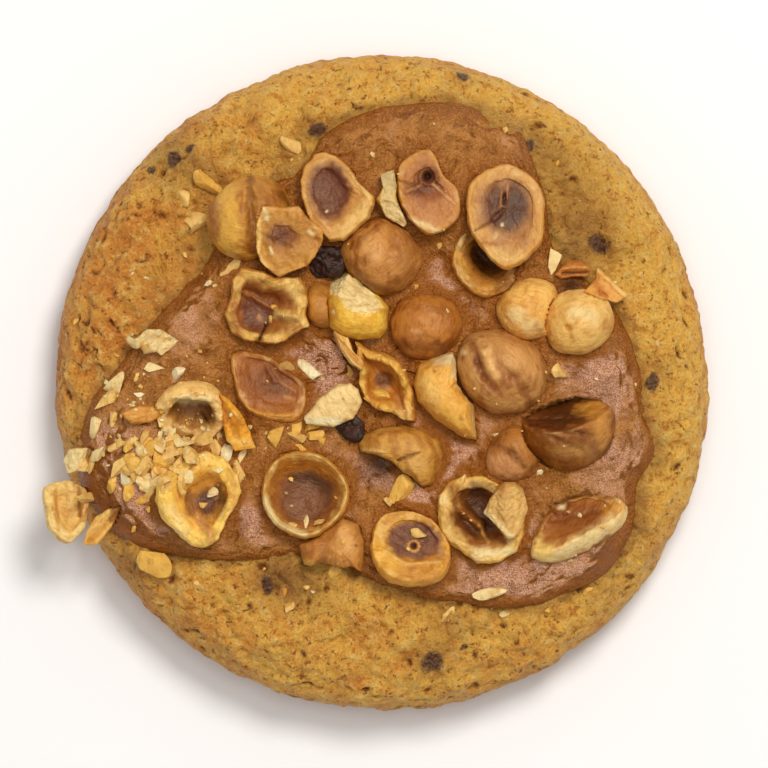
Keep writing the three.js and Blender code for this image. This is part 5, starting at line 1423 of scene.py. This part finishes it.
CHUNKS = {
    "chocolate_01": dict(
        at=(-8.4, 18.3), reaches=(3.2, 3, 2.4, 2.8, 3.3, 2.9, 2.3, 2.9), height=5,
        breaks=[(90, 60, 1.8), (210, 45, 1.9)],
    ),
    "chocolate_02": dict(
        at=(-5, -6.9), reaches=(2.2, 1.9, 2.3, 2.8, 2.2, 1.9, 2.3, 2.7), height=4.4,
        breaks=[(10, 60, 1.6), (170, 50, 1.6)],
    ),
}


def chocolate_material():
    shader = Shader("dark chocolate", {"Specular IOR Level": 0.4})
    patch = shader.noise(1.0, 3, 0.6)
    tone = shader.mix(shader.ramp(patch, 0.35, 0.7), colour(34, 14, 7), colour(72, 42, 28))
    return shader.finish({
        "Base Color": tone,
        "Roughness": 0.4 + 0.3 * patch,
        "Normal": shader.bump(patch, 0.3, 0.8),
    })


def make_chocolate():
    material = chocolate_material()
    for index, (node, spec) in enumerate(CHUNKS.items()):
        seed = index + 2.3
        chunk = pebble(spec["reaches"], spec["height"], seed, CHUNK_FULLNESS, CHUNK_SIDES)
        break_flat(chunk, spec["breaks"], (1, 1, 1, 1), seed)
        settle(chunk, spec["at"], (0, 0), node)
        chunk.swell(0.12 * rough(chunk.co, 0.9, 3))
        chunk.piece(node, material, "chocolate", node)


make_chocolate()

# The scattered bits
# Chips, slivers and crumbs of chopped hazelnut that fell all over the praline and the crust.

# Chips: place, length, width and turn
CHIPS = [
    (-26.6, 30.2, 6, 3, -52), (-30.4, 27.8, 2.8, 2.2, -40), (-28.8, 24.4, 5.8, 3, 12),
    (-13.4, 36.1, 5.6, 2.4, -24), (-22.2, 18.1, 6, 1.9, 38), (25.8, 18.6, 4.6, 2.3, 70),
    (-41, -0.5, 4.6, 3, 40), (-42.4, -2.9, 4.6, 2.4, 55), (-43.8, -6.6, 4.2, 2.2, 55),
    (-35.1, -27.6, 5.2, 4.4, -60), (-35, 2.1, 3, 1.5, -18), (-31.3, 1.3, 2.7, 1.8, 70),
    (-37.7, 6.2, 4.6, 1.7, 10), (27.3, 1.6, 3.8, 3, -30), (3.2, -16.6, 5, 3.4, 50), (-7.4, -29.4, 3.2, 2, 80),
    (16.4, -32.3, 5.4, 1.8, 6), (-14, -34.4, 2.2, 1.5, 40), (9.6, -35.6, 3.2, 1.5, 50),
    (-15.2, 2.4, 3, 1.8, -10), (-11.4, 2.2, 4.6, 2, -60), (-16.4, -8, 3.4, 2.2, 60),
    (-13.4, -8.6, 3, 2.2, -30), (-10.6, -8, 3, 1.8, 20), (-39.9, -12.9, 4.4, 2, 30),
    (-41.6, -15.6, 3.4, 2.2, 60), (-38.6, -16.6, 3.4, 2, 70), (-37.2, -12.9, 4.6, 1.7, 38),
    (-36.4, -10.5, 4.2, 1.9, 62), (-34.2, -13, 4.4, 1.9, -50), (-32, -11, 3.6, 2.1, 30),
    (-36.2, -8.5, 2.6, 1.6, 70), (-38.7, -9.1, 2.2, 1.5, 0), (-30.2, -9.3, 4.2, 2, 20),
    (-27.4, -8.6, 6, 2.4, 60), (-35, -15.3, 4, 1.5, 84), (-36.2, -17.2, 2.6, 1.9, 20),
    (-45.4, -17.6, 6.2, 1.5, 6), (-43.6, -10.9, 2.8, 1.9, 40), (-41.2, -5.2, 3.2, 1.2, 80),
    (-21.6, -11.5, 2.8, 1.2, 70), (-24, -10.6, 3.2, 2, 80),
]

# Smaller chips that fell into the nuts and beside them: place, length, width and turn
SMALL_CHIPS = [
    (-0.5, -2.2, 3.2, 2.3, -15), (-5.3, 1.5, 2.6, 1, -60), (2.4, -4.8, 2.6, 1, -40),
    (1.2, -18.6, 2.5, 1.6, -20), (5, 14.5, 2, 1.3, -30), (-13.4, -7.2, 3, 1.8, 70), (-11, -6.6, 2.6, 1.6, 20),
    (-9.4, -9.2, 2.6, 1.4, -50), (-12.6, -10, 2.2, 1.2, 0), (-11.9, -21.3, 3, 1, -80),
    (-9.8, -21.6, 2, 1.5, 10), (-13.9, -21.9, 1.4, 1, 0), (5.7, -23.3, 3, 1.6, -12),
    (-26.4, -17, 2.4, 1.4, 25), (-27.6, -18.8, 1.5, 1, 0), (-17, 11.5, 1.3, 0.9, 0), (-17, 9.6, 1.3, 1, 30),
    (-33.2, -15.6, 2.4, 1.4, 50), (-38.4, -11.2, 2.2, 1.2, 20), (-40.2, -9.6, 2, 1.4, 70),
    (-31.4, -13.4, 2.4, 1.2, -20), (-34, -9.8, 2, 1.2, 60), (-29, -11.6, 2.4, 1.2, -50),
    (-25, -13.4, 1.8, 1, 10), (-37.2, -1.8, 1.8, 1.1, 0), (-47, 9.2, 1.4, 0.9, 20), (16.9, -8.3, 1.4, 1, 0),
    (-38, -22.4, 1.4, 1, 40), (8.5, 20.7, 1.3, 0.8, 60), (-5.2, 1.2, 1.4, 0.9, 10), (31.3, -32, 1.6, 1, 30),
    (18.5, -35.5, 1.5, 1, 0), (-15, -32, 1.4, 1, 80), (-12, -31.4, 1.3, 0.9, 20), (12.2, -14.8, 1.4, 0.9, 70),
    (23.6, -13.6, 1.4, 1, 20),
]
HEAPED_CHIPS = 44
HEAP_CENTRE = (-35, -12.6)
HEAP_SPREAD = (4.2, 2.8)
CRUMB_COUNT = 230
CRUMB_RADIUS = 43
CRUMBS_END = 45
CRUMB_CENTRE = (-34, -10)
CRUMB_SPREAD = 6
THICKEST_CHIP = 1.8
CHIP_TONES = [CREAM, STRAW, GOLD, CHALK, STRAW, CREAM, GOLD, STRAW]
BREAKS_A_BIT = 8


def uppermost(x, y):
    """What a thing dropped at a place would land on: the spot and the way that it faces."""
    above = Vector((x, y, ABOVE_ALL))
    hits = [form.tree.ray_cast(above, Vector((0, 0, -1))) for form in Form.laid]
    return max((hit[:2] for hit in hits if hit[0]), key=lambda hit: hit[0].z)


def scattered(table, detail, seed):
    """Bits as one form, each an icosphere with flat breaks, lying where it landed. The table gives each
    one's place, length, width, thickness, turn and colour, and how far it stands out of what it lies on."""
    bm = bmesh.new()
    for _ in table:
        bmesh.ops.create_icosphere(bm, subdivisions=detail, radius=1)
    form = Form(bm)
    form.crisp = True
    bits = form.co.reshape(len(table), -1, 3)
    tints = form.tint.reshape(len(table), -1, 4)
    chance = np.random.default_rng(seed)
    for bit, tint, (x, y, length, width, thickness, turn, tone, proud) in zip(bits, tints, table):
        for _ in range(BREAKS_A_BIT):
            facing = chance.normal(size=3)
            facing /= np.linalg.norm(facing)
            bit -= np.maximum(0, bit @ facing - chance.uniform(0.25, 0.7))[:, None] * facing
        bit *= np.array((length, width, thickness)) / 2 / np.abs(bit).max(axis=0)
        spot, facing = uppermost(x, y)
        upright = facing.lerp(Vector((0, 0, 1)), 0.3)
        lean = Vector((0, 0, 1)).rotation_difference(upright).to_matrix()
        tilt = Matrix.Rotation(chance.normal(0, 0.3), 3, "X") @ Matrix.Rotation(chance.normal(0, 0.2), 3, "Y")
        swing = lean @ Matrix.Rotation(math.radians(turn), 3, "Z") @ tilt
        bit[:] = bit @ np.array(swing).T + np.array(spot) + np.array(upright) * (proud - 0.5) * thickness
        tint[:] = tone
    form.dye(0.45 * ease(rough(form.co, 1.1, 3, seed), 0.15, 0.9), colour(210, 156, 72))
    return form


def make_bits():
    chance = random.Random(31)
    heap = []
    for _ in range(HEAPED_CHIPS):
        length = chance.uniform(1.8, 4.4)
        x, y = (chance.gauss(*spread) for spread in zip(HEAP_CENTRE, HEAP_SPREAD))
        heap.append((x, y, length, length * chance.uniform(0.4, 0.7), chance.uniform(0, 360)))
    table = []
    for x, y, length, width, turn in CHIPS + SMALL_CHIPS + heap:
        thickness = min(THICKEST_CHIP, 0.8 * width)
        tone, proud = chance.choice(CHIP_TONES), chance.uniform(0.5, 1.0)
        table.append((x, y, 1.1 * length, 1.1 * width, thickness, turn, tone, proud))
    scattered(table, detail=3, seed=3).piece("nut_chips", HAZELNUT, "chopped_nut", "dough", "praline")
    table = []
    for _ in range(CRUMB_COUNT):
        reach, angle = CRUMB_RADIUS * math.sqrt(chance.random()), chance.uniform(0, 2 * math.pi)
        x, y = reach * math.cos(angle), reach * math.sin(angle)
        if chance.random() < 0.5:
            x, y = (chance.gauss(middle, CRUMB_SPREAD) for middle in CRUMB_CENTRE)
        size = 0.3 + 0.7 * chance.random() ** 2.5
        if math.hypot(x, y) < CRUMBS_END:
            table.append((x, y, size * chance.uniform(1, 1.7), size, 0.7 * size,
                          chance.uniform(0, 360), chance.choice(CHIP_TONES), 0.7))
    scattered(table, detail=1, seed=4).piece("nut_crumbs", HAZELNUT, "chopped_nut", "dough", "praline")


make_bits()

# The floor, the light and the camera
# A pale studio table under soft light. The camera looks straight down from far off.
FLOOR_SIZE = 8.0
FLOOR_DROP = 0.0002
SENSOR_WIDTH = 36
SHOWN_WIDTH = 0.11761
CAMERA_AWAY = 2.5
CAMERA_PLACE = (0.00008, -0.00031, 2.512)


def make_studio():
    bpy.ops.mesh.primitive_plane_add(size=FLOOR_SIZE, location=(0, 0, -FLOOR_DROP))
    floor = bpy.context.object
    floor.name = "floor"
    shader = Shader("pale floor", {"Roughness": 0.7})
    tone = shader.mix(shader.noise(60, 2), (0.88, 0.89, 0.92, 1), (0.92, 0.93, 0.96, 1))
    floor.data.materials.append(shader.finish({"Base Color": tone}))

    world = bpy.data.worlds.new("studio")
    world.use_nodes = True
    backdrop = world.node_tree.nodes["Background"].inputs
    backdrop["Color"].default_value = (1.0, 0.975, 0.93, 1)
    backdrop["Strength"].default_value = 0.42
    bpy.context.scene.world = world

    for name, place, size, power, tone in (
        ("key", (0.24, 0.42, 1.05), 0.36, 7.9, (1.0, 0.95, 0.87)),
        ("overhead", (0, 0.05, 1.2), 0.5, 2.9, (1.0, 0.96, 0.92)),
    ):
        light = bpy.data.lights.new(name, "AREA")
        light.shape = "DISK"
        light.size = size
        light.energy = power
        light.color = tone
        lamp = bpy.data.objects.new(name, light)
        lamp.location = place
        lamp.rotation_mode = "QUATERNION"
        lamp.rotation_quaternion = Vector(place).to_track_quat("Z", "Y")
        lamp.visible_camera = False
        bpy.context.scene.collection.objects.link(lamp)

    view = bpy.data.cameras.new("camera")
    view.sensor_width = SENSOR_WIDTH
    view.lens = SENSOR_WIDTH * CAMERA_AWAY / SHOWN_WIDTH
    view.clip_end = 20
    camera = bpy.data.objects.new("camera", view)
    camera.location = CAMERA_PLACE
    bpy.context.scene.collection.objects.link(camera)
    bpy.context.scene.camera = camera
    bpy.context.scene.view_settings.view_transform = "Standard"


make_studio()
